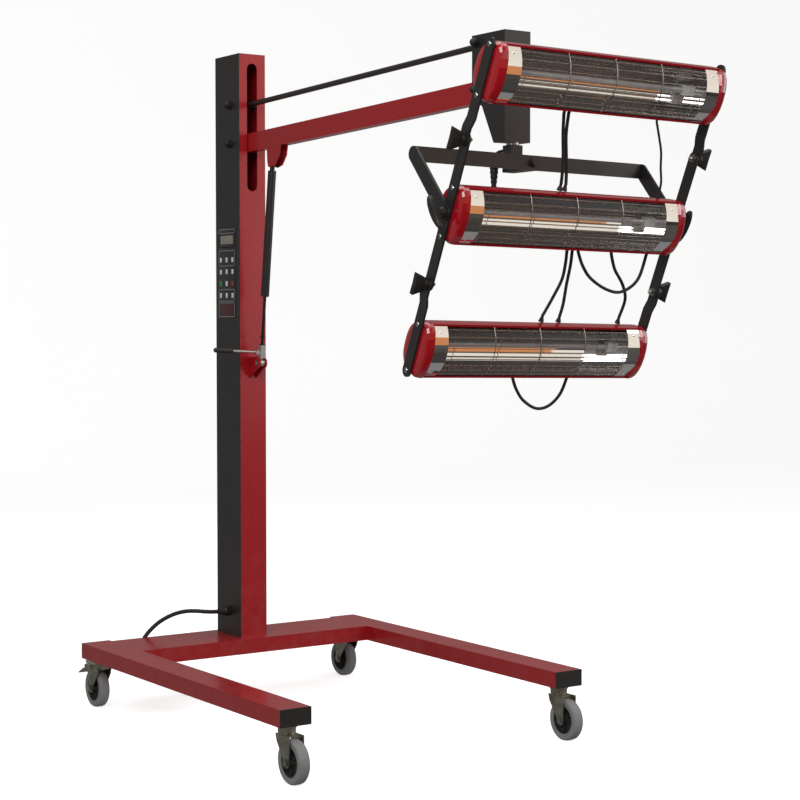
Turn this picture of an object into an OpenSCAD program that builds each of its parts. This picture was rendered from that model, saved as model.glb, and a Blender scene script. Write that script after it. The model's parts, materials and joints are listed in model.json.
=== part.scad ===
// Infrared curing lamp on a wheeled base.
// Origin on the floor under the middle of the machine, +Z up, lamps towards -Y.

/* [Base] */
// Length of each leg
leg_l = 1034; // [900:1:1200]
// Width of a leg
leg_w = 80; // [70:1:90]
// Height of the legs and of the crossbar
leg_h = 40; // [36:1:50]
// Outer width over both legs
base_w = 858; // [760:1:950]
// Height of the legs' underside above the floor
leg_under = 132; // [128:1:140]
// Wall of the base tubes and of the column
frame_wall = 3; // [2.5:0.5:4]
// Depth of each of the two crossbar tubes
bar_d = 90; // [80:1:100]
// Distance of the crossbar from the legs' rear ends
rear_step = 15; // [8:1:25]

/* [Casters] */
// Diameter of a wheel
wheel_d = 102; // [98:1:103]
// Width of a wheel
wheel_w = 28; // [24:1:30]
// Distance of the axle from the swivel axis
caster_trail = 30; // [26:1:32]
// Distance of the swivel axis from the leg's end
caster_inset = 40; // [34:1:48]
// Diameter of the caster's threaded stem
stem_d = 12; // [10:1:14]

/* [Column] */
// Width of the column
col_w = 80; // [76:1:90]
// Depth of the column
col_d = 130; // [125:1:150]
// Height of the column's top above the tie rod's pivot
col_above = 134; // [124:1:150]
// Width of the slot in the column's front
slot_w = 31; // [30:1:36]
// Height of the slot
slot_l = 340; // [320:1:350]
// Thickness of the black side cover
cover_t = 1.5; // [1:0.1:2.5]

/* [Arm] */
// Height of the arm's pivot above the floor
arm_pivot_h = 1500.5; // [1490:0.5:1505]
// Distance of the pivots behind the column's front face
pivot_back = 50; // [46:1:56]
// Distance between the arm's pivot and the tie rod's pivot
link_gap = 103.5; // [100:0.5:108]
// Distance between the pivots along the arm
link_l = 1104.5; // [1000:0.5:1150]
// Rise of the arm, in degrees
arm_rise = 1.76; // [0:0.01:5]
// Height of the arm's tube
arm_h = 48; // [44:1:52]
// Width of the arm's tube
arm_w = 26; // [24:1:27]
// Wall of the arm's tube
arm_wall = 2.5; // [2:0.5:3]
// Diameter of the tie rod
rod_d = 14; // [12:1:16]
// Diameter of the pivot pins
pin_d = 12; // [10:0.5:13]
// Diameter of the pins' domed caps
cap_d = 22.5; // [20:0.5:24]

/* [Strut] */
// Diameter of the strut's cylinder
cyl_d = 22; // [20:1:24]
// Diameter of the piston rod
piston_d = 8; // [6:0.5:10]
// Height of the strut's lower pivot above the floor
strut_h = 914; // [890:1:930]
// Distance of the lower pivot in front of the column
strut_out = 44; // [40:1:48]
// Distance of the upper pivot from the arm's pivot, along the arm
strut_reach = 156.2; // [150:0.1:170]
// Distance of the upper pivot below the arm's axis
strut_drop = 60.3; // [56:0.1:64]
// Length of the release lever from the strut's axis
lever_l = 146; // [120:1:160]

/* [Head] */
// Width of the head box
head_w = 70; // [64:1:76]
// Sheet of the head box
head_t = 2.5; // [2:0.5:3]
// Distance of the swivel axis in front of the head's lower pivot
post_reach = 84; // [82:1:86]
// Diameter of the swivel post
post_d = 22; // [20:1:24]
// Side of the square bracket under the post
block_w = 31; // [28:1:32]

/* [Yoke] */
// Swivel of the yoke at rest, in degrees
swivel = -1.85; // [-4:0.05:4]
// Lean of the yoke, in degrees
lean = 1.05; // [-2:0.05:2]
// Tilt of the lamps at rest, in degrees
tilt = 23.8; // [10:0.1:30]
// Width of the yoke's flat bar
yoke_w = 32; // [28:1:34]
// Thickness of the yoke's flat bar
yoke_t = 6; // [5:0.5:7]
// Width of the lamps' side bars
side_w = 28; // [24:1:30]
// Thickness of the lamps' side bars
side_t = 5; // [4:0.5:6]

/* [Lamps] */
// Length of a lamp between its end caps
lamp_l = 548; // [500:1:580]
// Height of a lamp
lamp_h = 122; // [116:1:126]
// Depth of a lamp's shell behind its opening
lamp_d = 62; // [58:1:66]
// Height of a lamp's opening
mouth_h = 113; // [108:1:116]
// Bulge of the grille in front of the opening
bulge = 25; // [20:0.5:28]
// Distance between the lamps' middles
lamp_pitch = 297; // [292:1:310]
// Wall of a lamp's shell
shell_t = 2; // [1.5:0.5:2.5]
// Width of the polished plate at each end of the opening
plate_w = 36; // [30:1:40]
// Diameter of the grille's wires
wire_d = 2; // [1.6:0.1:2.4]
// Number of long wires in a grille
wire_n = 8; // [6:1:10]
// Number of bays along a grille
bay_n = 4; // [3:1:6]
// Diameter of the quartz tube
quartz_d = 11; // [9:0.5:13]

/* [Panel] */
// Width of the keypad
pad_w = 94; // [90:1:98]
// Height of the keypad
pad_h = 243; // [230:1:260]
// Width of a key field
key_w = 13.5; // [11:0.5:16]
// Height of a key field
key_h = 12; // [10:0.5:14]

/* [Mains cord] */
// Diameter of the mains cord
cord_d = 11; // [10.5:0.5:11]

/* [Hidden] */
$fn = 48;

// Overrun of every cut
over = 1;
// Clearance between a pin and its bore
fit = 0.06;
// Gap between pieces that lie side by side
seat_gap = 0.3;

// Base
leg_x = base_w / 2 - leg_w / 2;
leg_top = leg_under + leg_h;
bar_gap = 0.4;
bar_front = 27;
front_reach = leg_l - rear_step - 2 * bar_d + bar_front;
end_cap_t = 3;
end_plug_l = 14;

// Column, with y counted from its front face
foot_t = 6;
roof_t = 3;
slot_end = 25;
flange_w = 12;
bolt_d = 10;
bolt_inset = 20;
bolt_head_h = 6;
bolt_head_d = 18;
nut_h = 8;
upper_pivot_h = arm_pivot_h + link_gap;
col_h = upper_pivot_h + col_above - leg_top;
clevis_t = 3;
clevis_gap = 16;
strut_pin_d = 8;

// Arm and head, with the head's pivot counted from the column's front face
head_y = pivot_back - link_l * cos(arm_rise);
head_z = arm_pivot_h + link_l * sin(arm_rise);
bush_d = 20;
arm_tail = 24;
arm_nose = 18;
rod_eye_d = 24;
rod_eye_w = 12;
rod_notch = 8;
cap_flange_t = 4;
cap_h = 18;
head_back = 18;
head_front = 101;
head_up = 120;
head_down = 120.5;
head_notch = [[18, -14], [-19, -38], [-61, -120.5]];
post_y = head_y - post_reach;
post_drop = 134.5;
post_z = head_z - post_drop;
collar_d = 28;
collar_h = 6;
ring_d = 27;
ring_t = 5;

// Strut, from the lower pivot towards the upper one
strut_top_y = pivot_back - strut_reach * cos(arm_rise) - strut_drop * sin(arm_rise);
strut_top_z = arm_pivot_h + strut_reach * sin(arm_rise) - strut_drop * cos(arm_rise);
strut_l = norm([strut_top_y + strut_out, strut_top_z - strut_h]);
strut_lean = atan2(-(strut_top_y + strut_out), strut_top_z - strut_h);
neck_l = 24;
neck_d = 13;
cyl_start = strut_l / 3;
eye_w = 12;
eye_d = 18;
block_h = 33;
block_start = 13;
block_side = 15;
lever_d = 7;
grip_d = 13;
grip_l = 56;
lever_rise = 3;
lever_pivot = 14;
lever_pin_d = 4;
ear_t = 2.7;

// Yoke, in its own frame under the post
yoke_drop = 35;
yoke_front = 76;
tilt_reach = 191.2;
tilt_drop = 161.5;
side_x = 294;
joint_z = 155;
screw_z = 52;
screw_d = 5;
knob_screw_d = 8;
wing_screw_d = 6;
joggle_start = 180;
joggle_end = 200;
yoke_in = side_x + side_t + seat_gap;
bar_end = 14;

// Lamps
chord_back = -18;
mouth_r = (pow(mouth_h / 2, 2) + pow(bulge, 2)) / (2 * bulge);
mouth_angle = asin(mouth_h / 2 / mouth_r);
cap_l = side_x - lamp_l / 2 - seat_gap;
cap_gap = 0.1;
shell_power = 2.6;
shell_steps = 24;
trough_d = 50;
trough_steps = 16;
sheet_t = 1;
grille_l = lamp_l - 2 * plate_w;
ceramic = [15, 14, 20];
lead_d = 7;
thin_d = 5;
grommet_d = 12;
grommet_h = 8;

// Panel and gland, with y counted from the column's front face
pad_t = 1;
key_rise = 0.5;
pad_y = 69;
pad_below = 345;
pad_z = arm_pivot_h - pad_below;
col_step = 32;
row_step = 32;
key_cols = [for (c = [-1:1]) pad_y + c * col_step];
key_rows = [for (r = [0:3]) pad_z + (1 - r) * row_step + key_h / 4];
window_w = 70;
window_h = 25;
window_z = pad_z + pad_h * 0.366;
label_w = 77;
label_h = 31;
label_z = pad_z - pad_h * 0.407;
gland_y = 64;
gland_z = 238;
gland_hex = 27;
gland_hex_l = 10;
gland_l = 34;
gland_tip_d = 15.5;
board = [1.6, 90, 190];
board_gap = 8;
board_z = pad_z;

// Mains cord
cord_points = [[-93, 64, 239], [-114, 67, 241], [-136, 80, 243], [-158, 100, 241], [-183, 123, 231],
  [-212, 144, 211], [-239, 157, 183], [-257, 164, 152], [-260, 168, 120], [-244, 170, 90],
  [-216, 170, 63], [-184, 168, 39], [-154, 163, 20], [-127, 156, 9]];
cord_sides = 10;
cord_steps = 4;
coil_c = [-50, 200];
coil_in_r = 42;
coil_gap = 0.5;
coil_turns = 2;
coil_start = -110;
coil_steps = 24;
coil_sides = 6;
plug_d = 34;
plug_l = 58;
blade_d = 4.8;
blade_l = 19;
blade_gap = 19;

// The machine's middle lies half way between the lamps' front and the rear pedals
cap_reach = norm([cos(tilt) * (bulge + shell_t), sin(tilt) * lamp_h / 2]);
lamps_front = -post_y + tilt_reach + sin(tilt) * lamp_pitch - cos(tilt) * chord_back + cap_reach
  + side_x * abs(sin(swivel));
ear_back = 60;
pedal_l = 46;
pedal_fall = 28;
pedals_back = leg_l - front_reach - caster_inset + ear_back + pedal_l * cos(pedal_fall);
col_y = (lamps_front - pedals_back) / 2;
leg_front = -front_reach;

function unit(v) = v / norm(v);
function span(n) = [0:n - 1];

// Points on a smooth curve through the points p, n to each stretch
function blend_point(a, b, c, d, t) =
  0.5 * (2 * b + (c - a) * t + (2 * a - 5 * b + 4 * c - d) * t * t + (3 * b - a - 3 * c + d) * t * t * t);
function curve(p, n) = [
  for (i = [0:len(p) - 2])
    for (k = span(n))
      blend_point(p[max(i - 1, 0)], p[i], p[i + 1], p[min(i + 2, len(p) - 1)], k / n),
  p[len(p) - 1]
];
function along(p, i) = unit(p[min(i + 1, len(p) - 1)] - p[max(i - 1, 0)]);
function length_of(p, i = 0) = i >= len(p) - 1 ? 0 : norm(p[i + 1] - p[i]) + length_of(p, i + 1);

// Ring of s points round place i of the route p, square to it
function ring(p, i, r, s, side) =
  let (t = along(p, i), u = unit(cross(t, side)), v = cross(t, u))
  [for (j = span(s)) p[i] + r * cos(360 * j / s) * u + r * sin(360 * j / s) * v];

// Round tube of diameter d swept along the route p
module tube(p, d, s, side) {
  n = len(p);
  rings = [for (i = span(n)) each ring(p, i, d / 2, s, side)];
  sides = [
    for (i = [0:n - 2])
      for (j = span(s))
        let (k = (j + 1) % s)
        each [[i * s + j, (i + 1) * s + k, i * s + k], [i * s + j, (i + 1) * s + j, (i + 1) * s + k]]
  ];
  ends = [
    for (j = [1:s - 2])
      each [[0, j, j + 1], [(n - 1) * s, (n - 1) * s + j + 1, (n - 1) * s + j]]
  ];
  polyhedron(points = rings, faces = concat(sides, ends));
}

// Cylinder along X, centred on its length
module xrod(d, l) {
  rotate([0, 90, 0]) cylinder(d = d, h = l, center = true);
}

// Outline in the YZ plane raised along X between two places
module side_plate(points, x0, x1) {
  translate([x0, 0, 0]) rotate([90, 0, 90]) linear_extrude(x1 - x0) polygon(points);
}

// Bar with round ends in the YZ plane, from a to b, with its width w
module round_bar(a, b, w, x0, x1) {
  run = norm(b - a);
  turn = atan2(b[1] - a[1], b[0] - a[0]);
  translate([x0, a[0], a[1]]) rotate([turn, 0, 0]) {
    translate([0, 0, -w / 2]) cube([x1 - x0, run, w]);
    for (y = [0, run])
      translate([0, y, 0]) rotate([0, 90, 0]) cylinder(d = w, h = x1 - x0);
  }
}

// Box tube along Y
module box_tube(w, l, h, t) {
  difference() {
    translate([-w / 2, 0, 0]) cube([w, l, h]);
    translate([t - w / 2, -over, t]) cube([w - 2 * t, l + 2 * over, h - 2 * t]);
  }
}

module at_column() {
  translate([0, col_y, 0]) children();
}

module at_arm() {
  at_column() translate([0, pivot_back, arm_pivot_h]) rotate([-arm_rise, 0, 0]) children();
}

module at_rod() {
  at_column() translate([0, pivot_back, upper_pivot_h]) rotate([-arm_rise, 0, 0]) children();
}

module at_head() {
  at_column() translate([0, head_y, head_z]) children();
}

module at_strut() {
  at_column() translate([0, -strut_out, strut_h]) rotate([strut_lean, 0, 0]) children();
}

module at_post() {
  at_column() translate([0, post_y, post_z]) children();
}

module at_yoke() {
  at_post() rotate([0, lean, swivel]) children();
}

module at_lamps() {
  at_yoke() translate([0, -tilt_reach, -tilt_drop]) rotate([tilt, 0, 0]) children();
}

// Middle of the opening of the lamp that lies k pitches up
module at_lamp(k) {
  at_lamps() translate([0, chord_back, k * lamp_pitch]) children();
}

// Swivel axis of the caster at the side sx, front or rear
module at_caster(sx, rear) {
  y = rear ? leg_front + leg_l - caster_inset : leg_front + caster_inset;
  at_column() translate([sx * leg_x, y, 0]) mirror([0, rear ? 1 : 0, 0]) children();
}

module leg(sx) {
  color("firebrick") at_column() difference() {
    translate([sx * leg_x, leg_front + end_cap_t, leg_under])
      box_tube(leg_w, leg_l - 2 * end_cap_t, leg_h, frame_wall);
    for (y = [leg_front + caster_inset, leg_front + leg_l - caster_inset])
      translate([sx * leg_x, y, leg_under - over])
        cylinder(d = stem_d + 2 * fit, h = frame_wall + 2 * over);
  }
}

module left_leg() {
  leg(-1);
}

module right_leg() {
  leg(1);
}

// Black caps at both ends of the legs, each with a plug inside the tube
module leg_end_caps() {
  plug_w = leg_w - 2 * frame_wall - 2 * seat_gap;
  plug_h = leg_h - 2 * frame_wall - 2 * seat_gap;
  color("dimgray") at_column() for (sx = [-1, 1], rear = [0, 1])
    translate([sx * leg_x, leg_front + rear * leg_l, leg_under + leg_h / 2]) mirror([0, rear, 0]) {
      translate([-leg_w / 2, 0, -leg_h / 2]) cube([leg_w, end_cap_t, leg_h]);
      translate([-plug_w / 2, 0, -plug_h / 2]) cube([plug_w, end_cap_t + end_plug_l, plug_h]);
    }
}

// Places of the bolts that hold the column down
bolt_places = [for (x = [-1, 1], y = [0, 1])
  [x * (col_w / 2 - bolt_inset), bolt_inset + y * (col_d - 2 * bolt_inset)]];

module crossbar() {
  l = base_w - 2 * leg_w;
  color("firebrick") at_column() difference() {
    for (k = [0, 1])
      translate([-l / 2, k * bar_d - bar_front + (k == 1 ? bar_gap / 2 : 0), leg_under]) difference() {
        cube([l, bar_d - bar_gap / 2, leg_h]);
        translate([-over, frame_wall, frame_wall])
          cube([l + 2 * over, bar_d - bar_gap / 2 - 2 * frame_wall, leg_h - 2 * frame_wall]);
      }
    for (p = bolt_places)
      translate([p[0], p[1], leg_under - over]) cylinder(d = bolt_d + 2 * fit, h = leg_h + 2 * over);
  }
}

// Plates under the arm's pivot side of the strut, in front of the column
bracket_low = 42;
bracket_high = 16;
bracket_round = 14;
module strut_bracket() {
  color("firebrick") for (sx = [-1, 1])
    translate([sx * (clevis_gap + clevis_t) / 2 - clevis_t / 2, 0, 0]) difference() {
      union() {
        side_plate([[0, strut_h - bracket_low], [0, strut_h + bracket_high],
          [-strut_out, strut_h + bracket_round], [-strut_out - bracket_round, strut_h],
          [-strut_out, strut_h - bracket_round]], 0, clevis_t);
        translate([0, -strut_out, strut_h]) rotate([0, 90, 0]) cylinder(r = bracket_round, h = clevis_t);
      }
      translate([clevis_t / 2, -strut_out, strut_h]) xrod(strut_pin_d + 2 * fit, 2 * clevis_t);
    }
}

module column() {
  left = -col_w / 2 + cover_t;
  inner_h = col_h - foot_t - roof_t;
  color("firebrick") at_column() {
    difference() {
      translate([left, 0, leg_top]) cube([col_w - cover_t, col_d, col_h]);
      translate([left + frame_wall, frame_wall, leg_top + foot_t])
        cube([col_w - cover_t - 2 * frame_wall, col_d - 2 * frame_wall, inner_h]);
      translate([left - over, flange_w, leg_top + foot_t])
        cube([frame_wall + 2 * over, col_d - 2 * flange_w, inner_h]);
      translate([0, frame_wall + over, leg_top + col_h - slot_end - slot_w / 2]) rotate([90, 0, 0])
        linear_extrude(frame_wall + 2 * over) {
          circle(d = slot_w);
          translate([-slot_w / 2, slot_w - slot_l]) square([slot_w, slot_l - slot_w]);
          translate([0, slot_w - slot_l]) circle(d = slot_w);
        }
      for (z = [arm_pivot_h, upper_pivot_h])
        translate([0, pivot_back, z]) xrod(pin_d + 2 * fit, col_w + 2 * over);
      for (p = bolt_places)
        translate([p[0], p[1], leg_top - over]) cylinder(d = bolt_d + 2 * fit, h = foot_t + 2 * over);
    }
    strut_bracket();
    // Bearing rail that carries the pins on the open side
    for (z = [arm_pivot_h, upper_pivot_h])
      difference() {
        translate([left, flange_w, z - bush_d / 2])
          cube([frame_wall, col_d - 2 * flange_w, bush_d]);
        translate([left, pivot_back, z]) xrod(pin_d + 2 * fit, 4 * frame_wall);
      }
  }
}

module side_cover() {
  color("dimgray") at_column() difference() {
    translate([-col_w / 2, 0, leg_top]) cube([cover_t - seat_gap / 3, col_d, col_h]);
    for (z = [arm_pivot_h, upper_pivot_h])
      translate([-col_w / 2, pivot_back, z]) xrod(pin_d + 2 * fit, 4 * cover_t);
    translate([-col_w / 2, gland_y, gland_z]) xrod(gland_tip_d + 2 * fit, 4 * cover_t);
    translate([-col_w / 2 - over, pad_y - window_w / 2, window_z - window_h / 2])
      cube([cover_t + 2 * over, window_w, window_h]);
  }
}

// Keys in rows, the display's frame and the label field on one thin sheet
module keypad() {
  module field(y, z, w, h, rise, colour) {
    color(colour) translate([-col_w / 2 - pad_t - rise, y - w / 2, z - h / 2]) cube([rise, w, h]);
  }
  at_column() {
    color("maroon") difference() {
      translate([-col_w / 2 - pad_t, pad_y - pad_w / 2, pad_z - pad_h / 2]) cube([pad_t, pad_w, pad_h]);
      translate([-col_w / 2 - pad_t - over, pad_y - window_w / 2, window_z - window_h / 2])
        cube([pad_t + 2 * over, window_w, window_h]);
    }
    for (r = [0:3], c = [0:2])
      field(key_cols[c], key_rows[r], key_w, key_h, key_rise,
        r == 2 && c == 2 ? "green" : r == 2 && c == 0 ? "red" : "gainsboro");
    field(pad_y, label_z, label_w, label_h, key_rise / 2, "darkred");
  }
}

module display_window() {
  color("black") at_column()
    translate([-col_w / 2 - pad_t / 2, pad_y - window_w / 2 + seat_gap, window_z - window_h / 2 + seat_gap])
      cube([pad_t, window_w - 2 * seat_gap, window_h - 2 * seat_gap]);
}

// Board on four posts behind the cover
module control_board() {
  left = -col_w / 2 + cover_t;
  color("seagreen") at_column() {
    translate([left + board_gap, col_d / 2 - board[1] / 2, board_z - board[2] / 2]) cube(board);
    for (y = [-1, 1], z = [-1, 1])
      translate([left, col_d / 2 + y * (board[1] - board_gap) / 2, board_z + z * (board[2] / 2 - board_gap)])
        rotate([0, 90, 0]) cylinder(d = board_gap / 2, h = board_gap + seat_gap);
    for (z = [-1, 0, 1])
      translate([left + board_gap + board[0], col_d / 2 - board[1] / 4, board_z + z * board[2] / 3])
        cube([board_gap, board[1] / 2, board[2] / 6]);
  }
}

// Gland with hexagon, domed nut and tapered strain relief
module cable_gland() {
  color("dimgray") at_column() translate([-col_w / 2, gland_y, gland_z]) rotate([0, -90, 0]) {
    cylinder(d = gland_hex, h = gland_hex_l, $fn = 6);
    rotate_extrude() polygon([[0, gland_hex_l], [gland_hex / 2 - 2 * seat_gap, gland_hex_l],
      [gland_hex / 2 - 2 * seat_gap, gland_hex_l * 1.4], [gland_hex / 2 - gland_hex_l / 4, gland_hex_l * 1.8],
      [gland_tip_d / 2, gland_l], [0, gland_l]]);
    translate([0, 0, -cover_t - gland_hex_l]) cylinder(d = gland_tip_d, h = cover_t + gland_hex_l);
    translate([0, 0, -cover_t - seat_gap - gland_hex_l / 2])
      cylinder(d = gland_hex, h = gland_hex_l / 2, $fn = 6);
  }
}

// Place of the coil's tube after k turns: in over coil_turns, up a layer in half a turn, out again
coil_pitch = cord_d + coil_gap;
coil_total = 2 * coil_turns + 0.5;
coil_low = cord_d / 2 + seat_gap;
function coil_r(k) = coil_in_r + coil_pitch * abs(k - coil_total / 2);
function coil_z(k) = coil_low + coil_pitch * min(max((k - coil_turns) * 2, 0), 1);
function coil_at(k) = [coil_c[0] + coil_r(k) * cos(coil_start + 360 * k),
  coil_c[1] + coil_r(k) * sin(coil_start + 360 * k), coil_z(k)];
function coil_way(k) = [-sin(coil_start + 360 * k), cos(coil_start + 360 * k), 0];
coil_route = concat(
  [coil_at(0) - cord_d * coil_way(0)],
  [for (i = [0:coil_total * coil_steps]) coil_at(i / coil_steps)],
  [coil_at(coil_total) + cord_d * coil_way(coil_total)]);
coil_enter = coil_route[0];
coil_leave = coil_route[len(coil_route) - 1];

// Least distance between the tube's middle line and itself, past half a turn, less its diameter
coil_own_gap = min([
  for (i = [0:len(coil_route) - 1])
    for (j = [i + coil_steps / 2:1:len(coil_route) - 1])
      norm(coil_route[i] - coil_route[j])]) - cord_d;
echo(coil_own_gap = coil_own_gap);
echo(coil_length = length_of(coil_route));

gland_tip = [-col_w / 2 - gland_l, gland_y, gland_z];
cord_route = concat([gland_tip], curve(concat([gland_tip], cord_points,
  [coil_enter - 2 * cord_d * coil_way(0), coil_enter - cord_d * coil_way(0)]), cord_steps), [coil_enter]);
echo(cord_length = length_of(cord_route));

module mains_cord() {
  route = [for (i = [1:len(cord_route) - 1]) cord_route[i]];
  color("dimgray") at_column() tube(route, cord_d, cord_sides, unit([1, 2, -8]));
}

module cord_coil() {
  color("dimgray") at_column() tube(coil_route, cord_d, coil_sides, [0, 0, 1]);
}

// Mains plug lying beside the coil, its cord entry face to face with the coil's end
module mains_plug() {
  way = coil_way(coil_total);
  color("dimgray") at_column() translate([coil_leave[0], coil_leave[1], coil_leave[2]])
    rotate([0, 0, atan2(way[1], way[0])]) {
      rotate([0, 90, 0]) rotate_extrude() polygon([[0, 0], [cord_d * 0.7, 0], [cord_d * 0.8, plug_l * 0.25],
        [plug_d * 0.45, plug_l * 0.5], [plug_d / 2, plug_l * 0.7], [plug_d / 2, plug_l], [0, plug_l]]);
      for (sy = [-1, 1])
        translate([plug_l, sy * blade_gap / 2, 0]) rotate([0, 90, 0]) cylinder(d = blade_d, h = blade_l);
    }
}

// Stepped cap of a pin, standing on a face at the end x of the side sx
module pin_cap(sx, x) {
  translate([sx * x, 0, 0]) rotate([0, sx * 90, 0]) rotate_extrude() polygon([[0, 0], [cap_d / 2, 0],
    [cap_d / 2, cap_flange_t], [cap_d * 0.4, cap_flange_t], [cap_d * 0.4, cap_h * 0.55],
    [cap_d * 0.33, cap_h * 0.8], [cap_d * 0.18, cap_h * 0.96], [0, cap_h]]);
}

module pin_with_caps(half) {
  xrod(pin_d, 2 * half);
  for (sx = [-1, 1])
    pin_cap(sx, half);
}

module pivot_pins() {
  color("dimgray") at_column() for (z = [arm_pivot_h, upper_pivot_h])
    translate([0, pivot_back, z]) pin_with_caps(col_w / 2);
}

module head_pins() {
  color("dimgray") at_head() for (z = [0, link_gap])
    translate([0, 0, z]) pin_with_caps(head_w / 2);
}

// Bolt of the strut's lower pivot
module strut_bolt() {
  half = clevis_gap / 2 + clevis_t;
  color("silver") at_column() translate([0, -strut_out, strut_h]) {
    xrod(strut_pin_d, 2 * half + 2 * seat_gap);
    for (sx = [-1, 1])
      translate([sx * (half + strut_pin_d / 4), 0, 0]) rotate([0, 90, 0])
        cylinder(d = strut_pin_d * 1.7, h = strut_pin_d / 2, center = true, $fn = 6);
  }
}

// Bolts up through the crossbar into the column's foot
module base_bolts() {
  color("silver") at_column() for (p = bolt_places)
    translate([p[0], p[1], 0]) {
      translate([0, 0, leg_under - bolt_head_h]) cylinder(d = bolt_head_d, h = bolt_head_h, $fn = 6);
      translate([0, 0, leg_under - over]) cylinder(d = bolt_d, h = leg_h + foot_t + nut_h + 2 * over);
      translate([0, 0, leg_top + foot_t]) cylinder(d = bolt_head_d, h = nut_h, $fn = 6);
    }
}

// Caster: fixed bearing ring and stem, fork below it
race_d = 46;
race_h = 8;
crown_gap = 4;
crown_z = wheel_d + crown_gap;
crown_t = 4;
cheek_t = 3;
cheek_gap = 3;
cheek_x = wheel_w / 2 + cheek_gap;
axle_d = 10;
boss_r = 12;
ear_z = wheel_d + crown_gap / 2;
pedal_pin_d = 6;

module caster_stems() {
  color("silver") for (sx = [-1, 1], rear = [0, 1])
    at_caster(sx, rear == 1) {
      translate([0, 0, crown_z - crown_t])
        cylinder(d = stem_d, h = leg_under - crown_z + crown_t + 4 * frame_wall);
      translate([0, 0, leg_under - race_h]) cylinder(d = race_d, h = race_h);
      translate([0, 0, leg_under + frame_wall]) cylinder(d = 2 * stem_d, h = race_h, $fn = 6);
    }
}

module caster_fork(sx, rear) {
  color("darkkhaki") at_caster(sx, rear) difference() {
    union() {
      race_z = leg_under - race_h - seat_gap;
      translate([0, 0, crown_z])
        cylinder(d1 = 2 * cheek_x + 2 * cheek_t, d2 = race_d * 0.9, h = race_z - crown_z);
      translate([-cheek_x - cheek_t, -caster_trail, crown_z])
        cube([2 * (cheek_x + cheek_t), caster_trail + boss_r, crown_t]);
      for (s = [-1, 1])
        translate([s * (cheek_x + cheek_t / 2) - cheek_t / 2, 0, 0]) {
          side_plate([[boss_r * 1.4, crown_z + crown_t], [-caster_trail - boss_r, crown_z + crown_t],
            [-caster_trail - boss_r, wheel_d * 0.55], [-caster_trail, wheel_d / 2 - boss_r],
            [-caster_trail + boss_r, wheel_d * 0.52], [boss_r, crown_z - boss_r]], 0, cheek_t);
          translate([0, -caster_trail, wheel_d / 2]) rotate([0, 90, 0]) cylinder(r = boss_r, h = cheek_t);
          if (rear)
            round_bar([-caster_trail, ear_z - boss_r], [-ear_back, ear_z], boss_r * 1.3, 0, cheek_t);
        }
      translate([0, -caster_trail, wheel_d / 2]) {
        xrod(axle_d, 2 * (cheek_x + cheek_t));
        for (s = [-1, 1])
          translate([s * (cheek_x + cheek_t + axle_d / 4), 0, 0]) rotate([0, 90, 0])
            cylinder(d = axle_d * 1.7, h = axle_d / 2, center = true, $fn = 6);
      }
      if (rear)
        translate([0, -ear_back, ear_z]) xrod(pedal_pin_d, 2 * (cheek_x + cheek_t));
    }
    translate([0, 0, crown_z - crown_t - over])
      cylinder(d = stem_d + 2 * fit, h = leg_under);
  }
}

// Light tyre on a dark hub with a recess on each side
module caster_wheel(sx, rear) {
  tyre_r = wheel_d / 2;
  hub_r = tyre_r * 0.7;
  at_caster(sx, rear) translate([0, -caster_trail, tyre_r]) rotate([0, 90, 0]) {
    color("silver") rotate_extrude() polygon([[hub_r + fit, -wheel_w * 0.45], [tyre_r * 0.9, -wheel_w / 2],
      [tyre_r * 0.97, -wheel_w * 0.38], [tyre_r, -wheel_w * 0.22], [tyre_r, wheel_w * 0.22],
      [tyre_r * 0.97, wheel_w * 0.38], [tyre_r * 0.9, wheel_w / 2], [hub_r + fit, wheel_w * 0.45]]);
    color("dimgray") rotate_extrude() polygon([[axle_d / 2 + fit, -wheel_w * 0.55],
      [axle_d, -wheel_w * 0.55], [axle_d * 1.2, -wheel_w * 0.18], [hub_r * 0.8, -wheel_w * 0.18],
      [hub_r * 0.9, -wheel_w * 0.45], [hub_r, -wheel_w * 0.45], [hub_r, wheel_w * 0.45],
      [hub_r * 0.9, wheel_w * 0.45], [hub_r * 0.8, wheel_w * 0.18], [axle_d * 1.2, wheel_w * 0.18],
      [axle_d, wheel_w * 0.55], [axle_d / 2 + fit, wheel_w * 0.55]]);
  }
}

// Pedal on its pin between the cheeks, reaching back over the wheel
module brake_pedal(sx) {
  barrel_d = pedal_pin_d * 2;
  pedal_w = 2 * (cheek_x - cheek_gap / 3);
  tread_w = pedal_w + 4 * cheek_t;
  pedal_t = 2.5;
  tab_w = pedal_w - 2 * pedal_t;
  tread_start = 12;
  tab_l = 8;
  toe = pedal_l - barrel_d / 2;
  color("silver") at_caster(sx, true) translate([0, -ear_back, ear_z]) difference() {
    union() {
      xrod(barrel_d, pedal_w);
      rotate([-pedal_fall, 0, 0])
        translate([-tab_w / 2, -barrel_d - tab_l, barrel_d / 2 - pedal_t - seat_gap])
          cube([tab_w, barrel_d + tab_l, pedal_t]);
      rotate([pedal_fall, 0, 0]) translate([0, 0, -barrel_d * 0.1]) {
        translate([-tab_w / 2, -tread_start - pedal_t, seat_gap])
          cube([tab_w, tread_start, pedal_t - 2 * seat_gap]);
        translate([-tread_w / 2, -barrel_d / 2 - toe, 0])
          cube([tread_w, toe + barrel_d / 2 - tread_start, pedal_t]);
      }
    }
    xrod(pedal_pin_d + 2 * fit, 2 * pedal_w);
  }
}

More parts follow.
